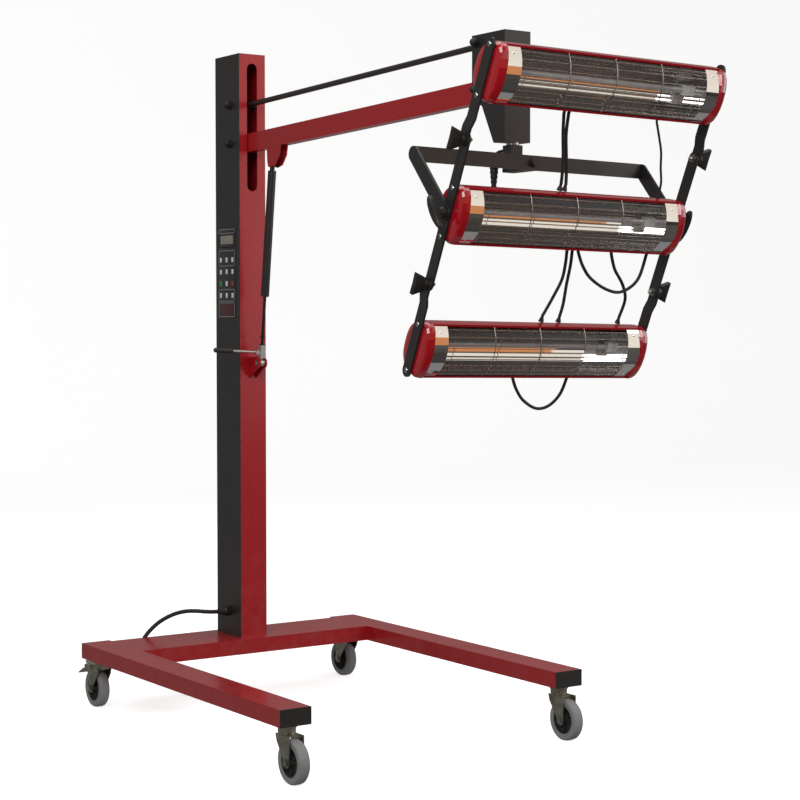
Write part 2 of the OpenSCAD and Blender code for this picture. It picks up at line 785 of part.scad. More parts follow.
// Arm tube with a bush at each pivot and the strut's clevis under it
module arm() {
  clevis_h = strut_drop - arm_h / 2;
  clevis_shares = [[-0.9, 0.2], [-0.53, -0.2], [-0.13, -0.28], [0.07, -0.23]];
  color("firebrick") at_arm() {
    difference() {
      union() {
        translate([0, -link_l - arm_nose, -arm_h / 2])
          box_tube(arm_w, link_l + arm_nose + arm_tail, arm_h, arm_wall);
        for (y = [0, -link_l])
          translate([0, y, 0]) xrod(bush_d, arm_w);
      }
      for (y = [0, -link_l])
        translate([0, y, 0]) xrod(pin_d + 2 * fit, 2 * arm_w);
    }
    for (sx = [-1, 1]) {
      translate([sx * (eye_w / 2 + clevis_t * 1.5) - clevis_t / 2, -strut_reach, -strut_drop])
        side_plate(concat([[strut_pin_d, 0], [strut_pin_d * 1.25, clevis_h], [-strut_drop, clevis_h]],
          [for (p = clevis_shares) p * strut_drop]), 0, clevis_t);
      translate([sx * (eye_w / 2 + clevis_t * 1.25 + seat_gap), -strut_reach, -strut_drop])
        xrod(strut_pin_d, clevis_t * 1.5);
    }
  }
}

// Tie rod with an eye at each pivot
module tie_rod() {
  color("dimgray") at_rod() difference() {
    union() {
      translate([0, -link_l, 0]) rotate([-90, 0, 0]) cylinder(d = rod_d, h = link_l);
      for (y = [0, -link_l])
        translate([0, y, 0]) xrod(rod_eye_d, rod_eye_w);
    }
    for (y = [0, -link_l])
      translate([0, y, 0]) xrod(pin_d + 2 * fit, 2 * rod_eye_w);
  }
}

// Head box: two side plates, front, top and bottom, open towards the arm
module head_box() {
  side = (head_w - head_t) / 2;
  outline = concat([[head_back, head_up], [-head_front, head_up], [-head_front, -head_down]],
    [[head_notch[2][0], -head_down], head_notch[1], head_notch[0]]);
  color("dimgray") at_head() difference() {
    union() {
      for (sx = [-1, 1])
        side_plate(outline, sx * side - head_t / 2, sx * side + head_t / 2);
      translate([-head_w / 2, -head_front, -head_down]) cube([head_w, head_t, head_up + head_down]);
      translate([-head_w / 2, -head_front, head_up - head_t]) cube([head_w, head_front + head_back, head_t]);
      translate([-head_w / 2, -head_front, -head_down])
        cube([head_w, head_front + head_notch[2][0], 2 * head_t]);
    }
    for (z = [0, link_gap])
      translate([0, 0, z]) xrod(pin_d + 2 * fit, head_w + 2 * over);
    translate([-rod_eye_w, head_back - rod_notch, head_up - head_t - over])
      cube([2 * rod_eye_w, 2 * rod_notch, head_t + 2 * over]);
    translate([0, -post_reach, -head_down - over]) cylinder(d = post_d + 2 * fit, h = 2 * head_t + 2 * over);
  }
}

// Strut's cylinder, open below for the rod, with its upper eye
module strut_cylinder() {
  groove = cyl_start + 1.8 * cyl_d;
  color("dimgray") at_strut() difference() {
    union() {
      translate([0, 0, cyl_start]) cylinder(d = cyl_d, h = strut_l - neck_l - cyl_start);
      translate([0, 0, strut_l - neck_l - over]) cylinder(d = neck_d, h = neck_l - eye_d / 4);
      translate([0, 0, strut_l]) xrod(eye_d, eye_w);
      translate([0, 0, cyl_start - over]) cylinder(d = cyl_d - 2 * frame_wall, h = 2 * over);
    }
    translate([0, 0, cyl_start - 2 * over])
      cylinder(d = piston_d + 2 * fit, h = strut_l - neck_l - cyl_start - cyl_d);
    translate([0, 0, strut_l]) xrod(strut_pin_d + 2 * seat_gap, 2 * eye_w);
    translate([0, 0, groove]) rotate_extrude()
      polygon([[cyl_d / 2 - over, 0], [cyl_d, 0], [cyl_d, over], [cyl_d / 2 - over, over]]);
  }
}

// Piston rod, stop ring, cast end block with ears for the lever, and the lower eye
module strut_rod() {
  rod_end_share = 0.6;
  rod_end = cyl_start + rod_end_share * (strut_l - neck_l - cyl_start);
  ring_z = block_start + block_h + cyl_d;
  color("silver") at_strut() difference() {
    union() {
      cylinder(d = piston_d, h = rod_end);
      translate([0, 0, ring_z]) cylinder(d = piston_d * 1.75, h = piston_d / 2);
      translate([-block_side / 2, -block_side / 2, block_start]) cube([block_side, block_side, block_h]);
      translate([0, 0, block_start - over]) cylinder(d = neck_d, h = block_h + 6 * over);
      xrod(eye_d, eye_w);
      for (sy = [-1, 1])
        translate([-lever_pivot, sy * (lever_d / 2 + seat_gap + ear_t / 2), lever_z]) rotate([90, 0, 0])
          cylinder(d = lever_d * 1.6, h = ear_t, center = true);
      for (sy = [-1, 1])
        translate([-lever_pivot, sy * (lever_d / 2 + seat_gap + ear_t / 2) - ear_t / 2, lever_z])
          translate([0, 0, -lever_d / 2]) cube([lever_pivot, ear_t, lever_d]);
      translate([-lever_pivot, 0, lever_z]) rotate([90, 0, 0])
        cylinder(d = lever_pin_d, h = lever_d + 2 * seat_gap + 2 * ear_t, center = true);
    }
    xrod(strut_pin_d + 2 * fit, 2 * eye_w);
  }
}

lever_z = 29;

// Release lever with a round grip, hinged between the block's ears
module release_lever() {
  at_strut() translate([-lever_pivot, 0, lever_z]) rotate([0, lever_rise, 0]) {
    color("silver") difference() {
      union() {
        rotate([90, 0, 0]) cylinder(d = lever_d * 1.4, h = lever_d, center = true);
        translate([-(lever_l - lever_pivot) + grip_d, 0, 0]) rotate([0, 90, 0])
          cylinder(d = lever_d, h = lever_l - lever_pivot - grip_d - lever_d / 2);
      }
      rotate([90, 0, 0]) cylinder(d = lever_pin_d + 2 * fit, h = 2 * lever_d, center = true);
    }
    color("dimgray") difference() {
      translate([-(lever_l - lever_pivot), 0, 0]) rotate([0, 90, 0]) {
        translate([0, 0, grip_d / 2]) cylinder(d = grip_d, h = grip_l - grip_d / 2);
        translate([0, 0, grip_d / 2]) sphere(d = grip_d);
      }
      translate([-(lever_l - lever_pivot) + grip_d - seat_gap, 0, 0]) rotate([0, 90, 0])
        cylinder(d = lever_d + 2 * fit, h = lever_l);
    }
  }
}

// Swivel post, collar, square bracket with its forward arm, lug for the supply lead and the yoke's bolt
lug = [26, 56, 5];
lug_x = -36;
module swivel_post() {
  color("silver") at_head() translate([0, -post_reach, -head_down]) {
    translate([0, 0, -2 * collar_h]) cylinder(d = post_d, h = 2 * collar_h + post_d * 2);
    translate([0, 0, -collar_h]) cylinder(d = collar_d, h = collar_h - fit);
    translate([0, 0, 2 * head_t + fit]) cylinder(d = ring_d, h = ring_t);
  }
  color("dimgray") at_yoke() {
    bottom = -yoke_drop - block_w / 2;
    top = post_drop - head_down - collar_h;
    difference() {
      union() {
        translate([-block_w / 2, -block_w / 2, bottom]) cube([block_w, block_w, top - bottom]);
        translate([-block_w / 2, yoke_t - yoke_front, bottom]) cube([block_w, yoke_front - yoke_t, block_w]);
        translate([lug_x, -lug[1] / 8, -yoke_drop]) cube(lug);
      }
      translate([0, yoke_t - yoke_front - over, -yoke_drop]) rotate([-90, 0, 0])
        cylinder(d = knob_screw_d + 2 * fit, h = block_w);
      translate([lug_x + lug[0] / 2, lug[1] * 7 / 8 - lug[0] / 2, -yoke_drop - over])
        cylinder(d = lead_d + 2 * seat_gap, h = lug[2] + 2 * over);
    }
    // Bolt and washer of the yoke
    translate([0, -yoke_front, -yoke_drop]) rotate([90, 0, 0]) {
      translate([0, 0, -block_w * 0.8]) cylinder(d = knob_screw_d, h = block_w * 0.8);
      cylinder(d = knob_screw_d * 2.6, h = knob_screw_d / 4);
      translate([0, 0, knob_screw_d / 4])
        cylinder(d1 = knob_screw_d * 2.2, d2 = knob_screw_d * 1.7, h = knob_screw_d);
    }
  }
}

// Yoke: crossbar and two arms bent down and forward to the tilt axis
module yoke() {
  corner = [yoke_t / 2 - yoke_front, -yoke_drop];
  foot = [-tilt_reach, -tilt_drop];
  outer = yoke_in + yoke_t;
  color("dimgray") at_yoke() difference() {
    union() {
      translate([-outer, -yoke_front, -yoke_drop - yoke_w / 2]) cube([2 * outer, yoke_t, yoke_w]);
      for (sx = [-1, 1])
        round_bar(corner, foot, yoke_w, sx > 0 ? yoke_in : -outer, sx > 0 ? outer : -yoke_in);
    }
    translate([0, foot[0], foot[1]]) xrod(knob_screw_d + 2 * fit, 2 * outer + 2 * over);
    translate([0, -yoke_front - over, -yoke_drop]) rotate([-90, 0, 0])
      cylinder(d = knob_screw_d + 2 * fit, h = yoke_t + 2 * over);
  }
}

// Pan-head screw through a side bar into the lamp's end cap
module lamp_screw(sx, y, z) {
  translate([sx * (side_x + side_t), y, z]) rotate([0, sx * 90, 0]) {
    cylinder(d1 = screw_d * 2, d2 = screw_d * 1.5, h = screw_d * 0.6);
    translate([0, 0, -side_t - screw_d]) cylinder(d = screw_d, h = side_t + screw_d);
  }
}

module screw_hole(sx, z) {
  translate([sx * (side_x + side_t / 2), 0, z]) xrod(screw_d + 2 * fit, 2 * side_t);
}

// Two straight bars with the middle lamp, the tilt screws' holes and the nuts of the joints
module mid_bars() {
  reach = joint_z + bar_end;
  color("dimgray") at_lamps() for (sx = [-1, 1]) {
    x0 = sx > 0 ? side_x : -side_x - side_t;
    difference() {
      round_bar([0, side_w / 2 - reach], [0, reach - side_w / 2], side_w, x0, x0 + side_t);
      translate([x0 + side_t / 2, 0, 0]) xrod(knob_screw_d + 2 * fit, 2 * side_t);
      for (s = [-1, 1]) {
        translate([x0 + side_t / 2, 0, s * joint_z]) xrod(wing_screw_d + 2 * fit, 2 * side_t);
        screw_hole(sx, s * screw_z);
      }
    }
    for (s = [-1, 1]) {
      lamp_screw(sx, 0, s * screw_z);
      translate([sx * (side_x - wing_screw_d / 2), 0, s * joint_z]) difference() {
        rotate([0, 90, 0]) cylinder(d = wing_screw_d * 1.9, h = wing_screw_d, center = true, $fn = 6);
        xrod(wing_screw_d + 2 * fit, 2 * wing_screw_d);
      }
    }
  }
}

// Joggled bars of the upper lamp, up = 1, or of the lower lamp, up = -1
module joggled_bars(up) {
  start = joint_z - bar_end;
  end = lamp_pitch + screw_z + bar_end;
  x_in = side_x;
  x_out = yoke_in;
  color("dimgray") at_lamps() mirror([0, 0, up > 0 ? 0 : 1]) for (sx = [-1, 1])
    mirror([sx > 0 ? 0 : 1, 0, 0]) difference() {
      union() {
        intersection() {
          translate([0, side_w / 2, 0]) rotate([90, 0, 0]) linear_extrude(side_w) polygon([
            [x_out, start], [x_out + side_t, start], [x_out + side_t, joggle_start],
            [x_in + side_t, joggle_end], [x_in + side_t, end], [x_in, end], [x_in, joggle_end],
            [x_out, joggle_start]]);
          round_bar([0, start + side_w / 2], [0, end - side_w / 2], side_w, x_in - over,
            x_out + side_t + over);
        }
        for (s = [-1, 1])
          lamp_screw(1, 0, lamp_pitch + s * screw_z);
      }
      translate([x_out + side_t / 2, 0, joint_z]) xrod(wing_screw_d + 2 * fit, 2 * side_t);
    }
}

module top_bars() {
  joggled_bars(1);
}

module low_bars() {
  joggled_bars(-1);
}

// T-shaped knob outside a yoke arm, its screw running through yoke and bar
module tilt_knob(sx) {
  x0 = yoke_in + yoke_t + seat_gap;
  hub_l = 12;
  hub_d = 22;
  grip_t = 18;
  grip_w = 16;
  grip_h = 78;
  arm_turn = 33;
  at_yoke() translate([0, -tilt_reach, -tilt_drop]) mirror([sx > 0 ? 0 : 1, 0, 0]) {
    color("silver") translate([side_x + seat_gap, 0, 0]) rotate([0, 90, 0])
      cylinder(d = knob_screw_d, h = x0 - side_x);
    color("dimgray") translate([x0, 0, 0]) {
      rotate([0, 90, 0]) cylinder(d = hub_d, h = hub_l);
      translate([hub_l + grip_t / 2 - seat_gap, 0, 0]) rotate([arm_turn, 0, 0]) intersection() {
        cube([grip_t, grip_w, grip_h], center = true);
        scale([grip_t * 1.3, grip_w * 1.3, grip_h * 1.06]) sphere(d = 1);
      }
    }
  }
}

// Wing knob of a joint between two side bars
module wing_knob(sx, up) {
  x0 = yoke_in + side_t + seat_gap;
  hub_l = 8;
  hub_d = 24;
  wing_t = 14;
  wing_l = 46;
  screw_l = x0 - side_x + wing_screw_d + seat_gap;
  at_lamps() translate([0, 0, up * joint_z]) mirror([sx > 0 ? 0 : 1, 0, 0]) {
    color("silver") translate([x0 - screw_l, 0, 0]) rotate([0, 90, 0])
      cylinder(d = wing_screw_d, h = screw_l + over);
    color("dimgray") translate([x0, 0, 0]) {
      rotate([0, 90, 0]) cylinder(d = hub_d, h = hub_l);
      translate([hub_l - seat_gap, 0, 0]) rotate([0, 90, 0]) linear_extrude(hub_l * 1.5)
        for (turn = [-1, 1])
          rotate(turn * 15) square([wing_l, wing_t * 0.75], center = true);
    }
  }
}

// Outline of a lamp: back as a rounded box, front as the arc of the mouth; scaled by s about its middle
lamp_mid_y = (lamp_d - bulge) / 2;
function back_point(a) = [lamp_d * pow(abs(cos(a)), 2 / shell_power),
  lamp_h / 2 * sign(sin(a)) * pow(abs(sin(a)), 2 / shell_power)];
back_points = [for (i = [0:shell_steps]) back_point(90 - 180 * i / shell_steps)];
inner_back = [for (p = back_points) [p[0] * (1 - shell_t / lamp_d), p[1] * (1 - 2 * shell_t / lamp_h)]];
front_steps = 10;
lip = (lamp_h - mouth_h) / 2;
front_points = [for (i = [1:front_steps - 1])
  let (a = -90 + 180 * i / front_steps)
  [-(bulge + shell_t) * cos(a) , lamp_h / 2 * sin(a)]];
cap_outline = concat(back_points, front_points);
cap_n = len(cap_outline);

// Rounded cap, from the shell's end outwards
cap_rings = 5;
function cap_scale(t) = 0.72 + 0.28 * sqrt(max(1 - t * t, 0));
module cap_dome() {
  points = [for (k = [0:cap_rings - 1]) let (t = k / (cap_rings - 1), s = cap_scale(t))
    for (p = cap_outline) [lamp_l / 2 + cap_gap + cap_l * (1 - pow(1 - t, 1.6)),
      lamp_mid_y + (p[0] - lamp_mid_y) * s, p[1] * s]];
  walls = [for (k = [0:cap_rings - 2], j = span(cap_n))
    let (m = (j + 1) % cap_n)
    each [[k * cap_n + j, k * cap_n + m, (k + 1) * cap_n + m],
      [k * cap_n + j, (k + 1) * cap_n + m, (k + 1) * cap_n + j]]];
  ends = [for (j = [1:cap_n - 2])
    each [[0, j + 1, j],
      [(cap_rings - 1) * cap_n, (cap_rings - 1) * cap_n + j, (cap_rings - 1) * cap_n + j + 1]]];
  polyhedron(points = points, faces = concat(walls, ends));
}

boss_d = 12;
module lamp_housing(k) {
  at_lamp(k) {
    color("firebrick") side_plate(concat(back_points, [[0, -lamp_h / 2 + lip], [shell_t, -lamp_h / 2 + lip]],
      [for (i = [1:shell_steps - 1]) inner_back[shell_steps - i]],
      [[shell_t, lamp_h / 2 - lip], [0, lamp_h / 2 - lip]]), -lamp_l / 2, lamp_l / 2);
    for (sx = [-1, 1])
      mirror([sx > 0 ? 0 : 1, 0, 0]) color("crimson") difference() {
        union() {
          cap_dome();
          for (s = [-1, 1])
            translate([lamp_l / 2 + cap_l / 2, -chord_back, s * screw_z]) rotate([0, 90, 0])
              cylinder(d = boss_d, h = cap_l / 2);
        }
        for (s = [-1, 1])
          translate([side_x, -chord_back, s * screw_z]) xrod(screw_d + 2 * fit, 3 * screw_d);
      }
  }
}

// Trough mirror with end walls, and a curved polished plate over each end of the mouth
module reflector(k) {
  screw_angle = 0.8 * mouth_angle;
  half = mouth_h / 2 - shell_t;
  inner = [for (i = [0:trough_steps]) let (s = -1 + 2 * i / trough_steps) [trough_d * (1 - s * s), half * s]];
  outer = [for (i = [trough_steps:-1:0]) let (s = -1 + 2 * i / trough_steps)
    [trough_d * (1 - s * s) + sheet_t, (half + sheet_t / 2) * s]];
  mouth = [for (i = [trough_steps - 1:-1:1]) let (a = mouth_angle * (2 * i / trough_steps - 1))
    [mouth_r - bulge - (mouth_r - sheet_t - fit) * cos(a), (mouth_r - sheet_t - fit) * sin(a)]];
  plate = concat(
    [for (i = [0:trough_steps]) let (a = -mouth_angle + 2 * mouth_angle * i / trough_steps)
      [mouth_r - bulge - mouth_r * cos(a), mouth_r * sin(a)]],
    [for (i = [trough_steps:-1:0]) let (a = -mouth_angle + 2 * mouth_angle * i / trough_steps)
      [mouth_r - bulge - (mouth_r - sheet_t) * cos(a), (mouth_r - sheet_t) * sin(a)]]);
  color("lightgray") at_lamp(k) {
    side_plate(concat(inner, outer), -grille_l / 2, grille_l / 2);
    for (sx = [-1, 1]) {
      side_plate(concat(inner, mouth), sx * (grille_l + sheet_t) / 2 - sheet_t / 2,
        sx * (grille_l + sheet_t) / 2 + sheet_t / 2);
      mirror([sx > 0 ? 0 : 1, 0, 0]) {
        side_plate(plate, grille_l / 2, lamp_l / 2 - seat_gap);
        for (s = [-1, 1])
          translate([(grille_l + plate_w) / 2, mouth_r - bulge, 0]) rotate([s * screw_angle, 0, 0])
            translate([0, -mouth_r, 0]) rotate([90, 0, 0])
              cylinder(d = screw_d, h = screw_d * 0.3);
      }
    }
  }
}

// Long wires, with bent wires across them
module grille(k) {
  wire_span_share = 0.9;
  long_r = mouth_r - sheet_t - seat_gap - wire_d / 2;
  bow_r = mouth_r + wire_d / 2;
  color("silver") at_lamp(k) translate([0, mouth_r - bulge, 0]) {
    for (i = span(wire_n)) {
      a = mouth_angle * wire_span_share * (1 - 2 * i / (wire_n - 1));
      translate([0, -long_r * cos(a), long_r * sin(a)]) xrod(wire_d, grille_l - 2 * seat_gap);
    }
    for (i = [1:bay_n - 1])
      translate([grille_l * (i / bay_n - 0.5), 0, 0]) rotate([0, 90, 0]) rotate([0, 0, -90 - mouth_angle])
        rotate_extrude(angle = 2 * mouth_angle)
          translate([long_r + wire_d + fit, 0]) circle(d = wire_d, $fn = 16);
  }
}

// Quartz tube at the mirror's focus with a ceramic block at each end
module quartz_tube(k) {
  half = mouth_h / 2 - shell_t;
  focus = trough_d - half * half / (4 * trough_d);
  tube_l = grille_l - 2 * ceramic[0];
  at_lamp(k) translate([0, focus, 0]) {
    color("linen") xrod(quartz_d, tube_l);
    for (sx = [-1, 1])
      color("white") translate([sx * (tube_l + ceramic[0]) / 2, 0, 0])
        cube([ceramic[0] - seat_gap, ceramic[1], ceramic[2]], center = true);
  }
}

// Grommet at the place x on a lamp's top, up = 1, or underside, up = -1
lead_y = 30;
lead_share = pow(1 - pow((lead_y - grommet_d / 2) / lamp_d, shell_power), 1 / shell_power);
lead_seat = lamp_h / 2 * lead_share + seat_gap;
module grommet(k, x, up, d) {
  translate([x, chord_back + lead_y, k * lamp_pitch + up * lead_seat]) mirror([0, 0, up > 0 ? 0 : 1])
    cylinder(d1 = 1.7 * d, d2 = 1.3 * d, h = grommet_h);
}

// Lead between two grommets, its places given as shares of the lamps' pitch, its middle moved back by bow
module lead(k0, share0, up0, k1, share1, up1, shares, d, bow = 0) {
  y = chord_back + lead_y;
  x0 = share0 * lamp_pitch;
  x1 = share1 * lamp_pitch;
  z0 = k0 * lamp_pitch + up0 * (lead_seat + grommet_h);
  z1 = k1 * lamp_pitch + up1 * (lead_seat + grommet_h);
  route = concat([[x0, y, z0]], curve(concat([[x0, y, z0 + up0 * d]],
    [for (p = shares) [p[0] * lamp_pitch, y + bow, p[1] * lamp_pitch]],
    [[x1, y, z1 + up1 * d]]), 4), [[x1, y, z1]]);
  tube(route, d, 8, [0, 1, 0]);
  grommet(k0, x0, up0, d);
  grommet(k1, x1, up1, d);
}

module upper_leads() {
  color("dimgray") at_lamps() {
    lead(1, -0.229, -1, 0, -0.088, 1, [[-0.189, 0.606], [-0.138, 0.455], [-0.108, 0.347]], lead_d);
    lead(1, -0.189, -1, 0, -0.046, 1, [[-0.162, 0.606], [-0.111, 0.455], [-0.074, 0.347]], lead_d);
    lead(1, 0.593, -1, 0, 0.808, 1, [[0.66, 0.64], [0.714, 0.539], [0.754, 0.421], [0.795, 0.32]], thin_d);
    lead(0, 0.229, -1, 0, 0.862, -1, [[0.266, -0.337], [0.37, -0.431], [0.539, -0.512], [0.69, -0.529],
      [0.808, -0.431]], lead_d, -2 * lead_d);
  }
}

module lower_leads() {
  color("dimgray") at_lamps() {
    lead(0, 0.128, -1, -1, 0.074, 1,
      [[0.148, -0.354], [0.155, -0.471], [0.121, -0.606], [0.084, -0.724]], lead_d);
    lead(0, 0.175, -1, -1, 0.229, 1, [[0.195, -0.354], [0.209, -0.505], [0.229, -0.657]], lead_d);
    lead(0, 0.532, -1, -1, 0.781, 1, [[0.606, -0.37], [0.721, -0.488], [0.788, -0.606]], lead_d);
    lead(-1, -0.04, -1, -1, 0.458, -1,
      [[0.02, -1.34], [0.114, -1.434], [0.253, -1.502], [0.364, -1.481], [0.438, -1.387]], lead_d);
  }
}

// Supply lead: from the post through the lug, a boot under it, then down to the middle lamp's back
module supply_lead() {
  boot_l = 52;
  boot_d = 20;
  sag_shares = [[-0.006, -0.018, -0.1], [-0.016, -0.09, -0.19], [-0.02, -0.25, -0.225],
    [-0.026, -0.46, -0.215]];
  x = lug_x + lug[0] / 2;
  y = lug[1] * 7 / 8 - lug[0] / 2;
  z = -yoke_drop - seat_gap;
  end_z = boot_d / 2;
  seat = [-lead_y, chord_back + lamp_d + seat_gap, end_z];
  back = [0, cos(tilt), sin(tilt)];
  up = [0, -sin(tilt), cos(tilt)];
  end = [seat[0], -tilt_reach, -tilt_drop] + (seat[1] + grommet_h) * back + end_z * up;
  start = [x, y, z - boot_l - lead_d];
  top_z = z + lug[2] + 4 * lead_d;
  out_x = -block_w / 4;
  color("dimgray") at_yoke() {
    translate([x, y, z - boot_l]) cylinder(d1 = 1.4 * lead_d, d2 = boot_d, h = boot_l);
    tube(concat([[x, y, z - boot_l]], curve(concat([start], [for (p = sag_shares) start + p * tilt_reach],
      [end + 5 * lead_d * back, end + lead_d * back]), 5), [end]), lead_d, 8, [1, 0, 0]);
    tube(curve([[out_x, block_w / 2 + seat_gap, top_z], [out_x, block_w / 2 + lead_d, top_z],
      [out_x - lead_d * 0.9, y - lead_d * 0.3, top_z - lead_d * 0.4],
      [x + lead_d / 2, y + lead_d * 0.3, top_z - lead_d * 1.6], [x, y, top_z - lead_d * 3],
      [x, y, z + seat_gap + fit]], 5), lead_d, 8, [1, 0, 0]);
  }
  color("dimgray") at_lamps() translate(seat) rotate([-90, 0, 0])
    cylinder(d1 = 1.7 * lead_d, d2 = 1.3 * lead_d, h = grommet_h);
}

module caster_fork_fl() {
  caster_fork(-1, false);
}

module caster_fork_fr() {
  caster_fork(1, false);
}

module caster_fork_rl() {
  caster_fork(-1, true);
}

module caster_fork_rr() {
  caster_fork(1, true);
}

left_leg();
right_leg();
leg_end_caps();
crossbar();
column();
side_cover();
keypad();
display_window();
control_board();
cable_gland();
mains_cord();
cord_coil();
mains_plug();
pivot_pins();
strut_bolt();
base_bolts();
caster_stems();
caster_fork_fl();
caster_fork_fr();
caster_fork_rl();
caster_fork_rr();
caster_wheel(-1, false);  // caster_wheel_fl
caster_wheel(1, false);  // caster_wheel_fr
caster_wheel(-1, true);  // caster_wheel_rl
caster_wheel(1, true);  // caster_wheel_rr
brake_pedal(-1);  // brake_pedal_rl
brake_pedal(1);  // brake_pedal_rr
arm();
tie_rod();
head_box();
head_pins();
strut_cylinder();
strut_rod();
release_lever();
swivel_post();
yoke();
top_bars();
mid_bars();
low_bars();
tilt_knob(-1);  // tilt_knob_left
tilt_knob(1);  // tilt_knob_right
wing_knob(-1, 1);  // wing_knob_ul
wing_knob(1, 1);  // wing_knob_ur
wing_knob(-1, -1);  // wing_knob_ll
wing_knob(1, -1);  // wing_knob_lr
lamp_housing(1);  // top_housing
lamp_housing(0);  // mid_housing
lamp_housing(-1);  // low_housing
reflector(1);  // top_reflector
reflector(0);  // mid_reflector
reflector(-1);  // low_reflector
grille(1);  // top_grille
grille(0);  // mid_grille
grille(-1);  // low_grille
quartz_tube(1);  // top_tube
quartz_tube(0);  // mid_tube
quartz_tube(-1);  // low_tube
supply_lead();
upper_leads();
lower_leads();
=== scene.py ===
# %% [markdown]
# A curing lamp on a wheeled stand, dressed for the camera. The frame below brings in every rigid part at
# its real size, in metres. What it can't give is finish and small form: powder coat, mirror sheet, moulded
# knobs, smooth cords. Those are made here, one short cell at a time.

# %% Load the frame
import json
from math import cos, pi, radians, sin

import bpy
from mathutils import Euler, Matrix, Vector


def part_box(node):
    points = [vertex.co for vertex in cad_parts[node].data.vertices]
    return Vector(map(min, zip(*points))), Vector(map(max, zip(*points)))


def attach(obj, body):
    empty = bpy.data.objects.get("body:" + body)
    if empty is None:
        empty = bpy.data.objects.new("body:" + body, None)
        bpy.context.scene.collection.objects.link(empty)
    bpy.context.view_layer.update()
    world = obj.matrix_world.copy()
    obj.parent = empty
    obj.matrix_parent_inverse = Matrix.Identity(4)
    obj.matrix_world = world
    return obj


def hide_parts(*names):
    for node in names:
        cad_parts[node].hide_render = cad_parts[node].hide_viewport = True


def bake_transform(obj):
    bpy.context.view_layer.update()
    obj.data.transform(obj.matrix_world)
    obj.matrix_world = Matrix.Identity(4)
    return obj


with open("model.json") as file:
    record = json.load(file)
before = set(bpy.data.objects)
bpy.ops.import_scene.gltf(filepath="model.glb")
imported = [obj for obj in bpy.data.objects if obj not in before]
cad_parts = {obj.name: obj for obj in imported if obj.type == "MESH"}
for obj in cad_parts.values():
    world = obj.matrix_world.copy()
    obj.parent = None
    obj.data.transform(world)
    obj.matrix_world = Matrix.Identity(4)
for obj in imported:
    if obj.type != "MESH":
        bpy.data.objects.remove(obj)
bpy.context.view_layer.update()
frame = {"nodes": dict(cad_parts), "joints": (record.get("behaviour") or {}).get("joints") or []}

MM = 0.001
nodes = frame["nodes"]
joints = {joint["name"]: joint for joint in frame["joints"]}
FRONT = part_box("side_cover")[0].y
print("column's front face at y", round(FRONT, 4), "with", len(nodes), "parts round it")

# %% [markdown]
# The picture was taken from the left and a little above the middle of the machine, with a long lens. The
# camera comes first, because the cord's hidden coil has to lie where this view doesn't reach.

# %% Camera
CAMERA_PLACE = (-2.4968, -3.7245, 1.03)
CAMERA_FALL = 2.517
CAMERA_TURN = -34.331
LENS = 83.81
SENSOR = 36
SHIFT = (-0.0019, 0.0016)
camera_data = bpy.data.cameras.new("camera")
camera_data.lens = LENS
camera_data.sensor_width = SENSOR
camera_data.shift_x, camera_data.shift_y = SHIFT
camera = bpy.data.objects.new("camera", camera_data)
camera.location = CAMERA_PLACE
camera.rotation_euler = (radians(90 - CAMERA_FALL), 0, radians(CAMERA_TURN))
bpy.context.scene.collection.objects.link(camera)
bpy.context.scene.camera = camera
print("camera looks down by", CAMERA_FALL, "degrees")

# %% [markdown]
# A cord is a fixed length of something flexible. Its route is a short list of given points, and a
# smooth curve through them gives the tube. The spare length is wound in a flat coil behind the left leg.

# %% Smooth routes
def blend_point(a, b, c, d, t):
    """A place between b and c, at share t of the way, on a smooth curve past a and d."""
    place = 2 * b + (c - a) * t + (2 * a - 5 * b + 4 * c - d) * t**2
    return 0.5 * (place + (3 * b - a - 3 * c + d) * t**3)


def smooth(points, steps):
    """Points on a smooth curve through the given ones, so many to a stretch."""
    last = len(points) - 1
    route = []
    for i in range(last):
        near = [points[max(i - 1, 0)], points[i], points[i + 1], points[min(i + 2, last)]]
        route += [blend_point(*near, k / steps) for k in range(steps)]
    return route + [points[last]]


def length_of(route):
    return sum((b - a).length for a, b in zip(route, route[1:]))


def at_column(x, y, z):
    """A place in millimetres, with y counted from the column's front face."""
    return Vector((x * MM, FRONT + y * MM, z * MM))


def tube_along(name, route, diameter):
    """A round tube on one open spline through every point of the route, as a mesh."""
    data = bpy.data.curves.new(name, "CURVE")
    data.dimensions = "3D"
    data.bevel_depth = diameter / 2
    data.bevel_resolution = 4
    data.use_fill_caps = True
    spline = data.splines.new("POLY")
    spline.points.add(len(route) - 1)
    for point, place in zip(spline.points, route):
        point.co = (*place, 1)
    spline.use_smooth = True
    cord = bpy.data.objects.new(name, data)
    bpy.context.scene.collection.objects.link(cord)
    bpy.ops.object.select_all(action="DESELECT")
    cord.select_set(True)
    bpy.context.view_layer.objects.active = cord
    bpy.ops.object.convert(target="MESH")
    return bpy.context.object


# %% Mains cord
CORD_D = 11
CORD_STEPS = 6
GLAND_Y = 64
GLAND_Z = 238
OVER_FLOOR = 0.3
COIL_MIDDLE = (-50, 200)
COIL_IN_R = 42
COIL_GAP = 0.5
COIL_TURNS = 2
COIL_START = -110
COIL_STEPS = 40
COIL_TOTAL = 2 * COIL_TURNS + 0.5
CORD_POINTS = [(-93, 64, 239), (-114, 67, 241), (-136, 80, 243), (-158, 100, 241), (-183, 123, 231),
               (-212, 144, 211), (-239, 157, 183), (-257, 164, 152), (-260, 168, 120), (-244, 170, 90),
               (-216, 170, 63), (-184, 168, 39), (-154, 163, 20), (-127, 156, 9)]
PITCH = CORD_D + COIL_GAP


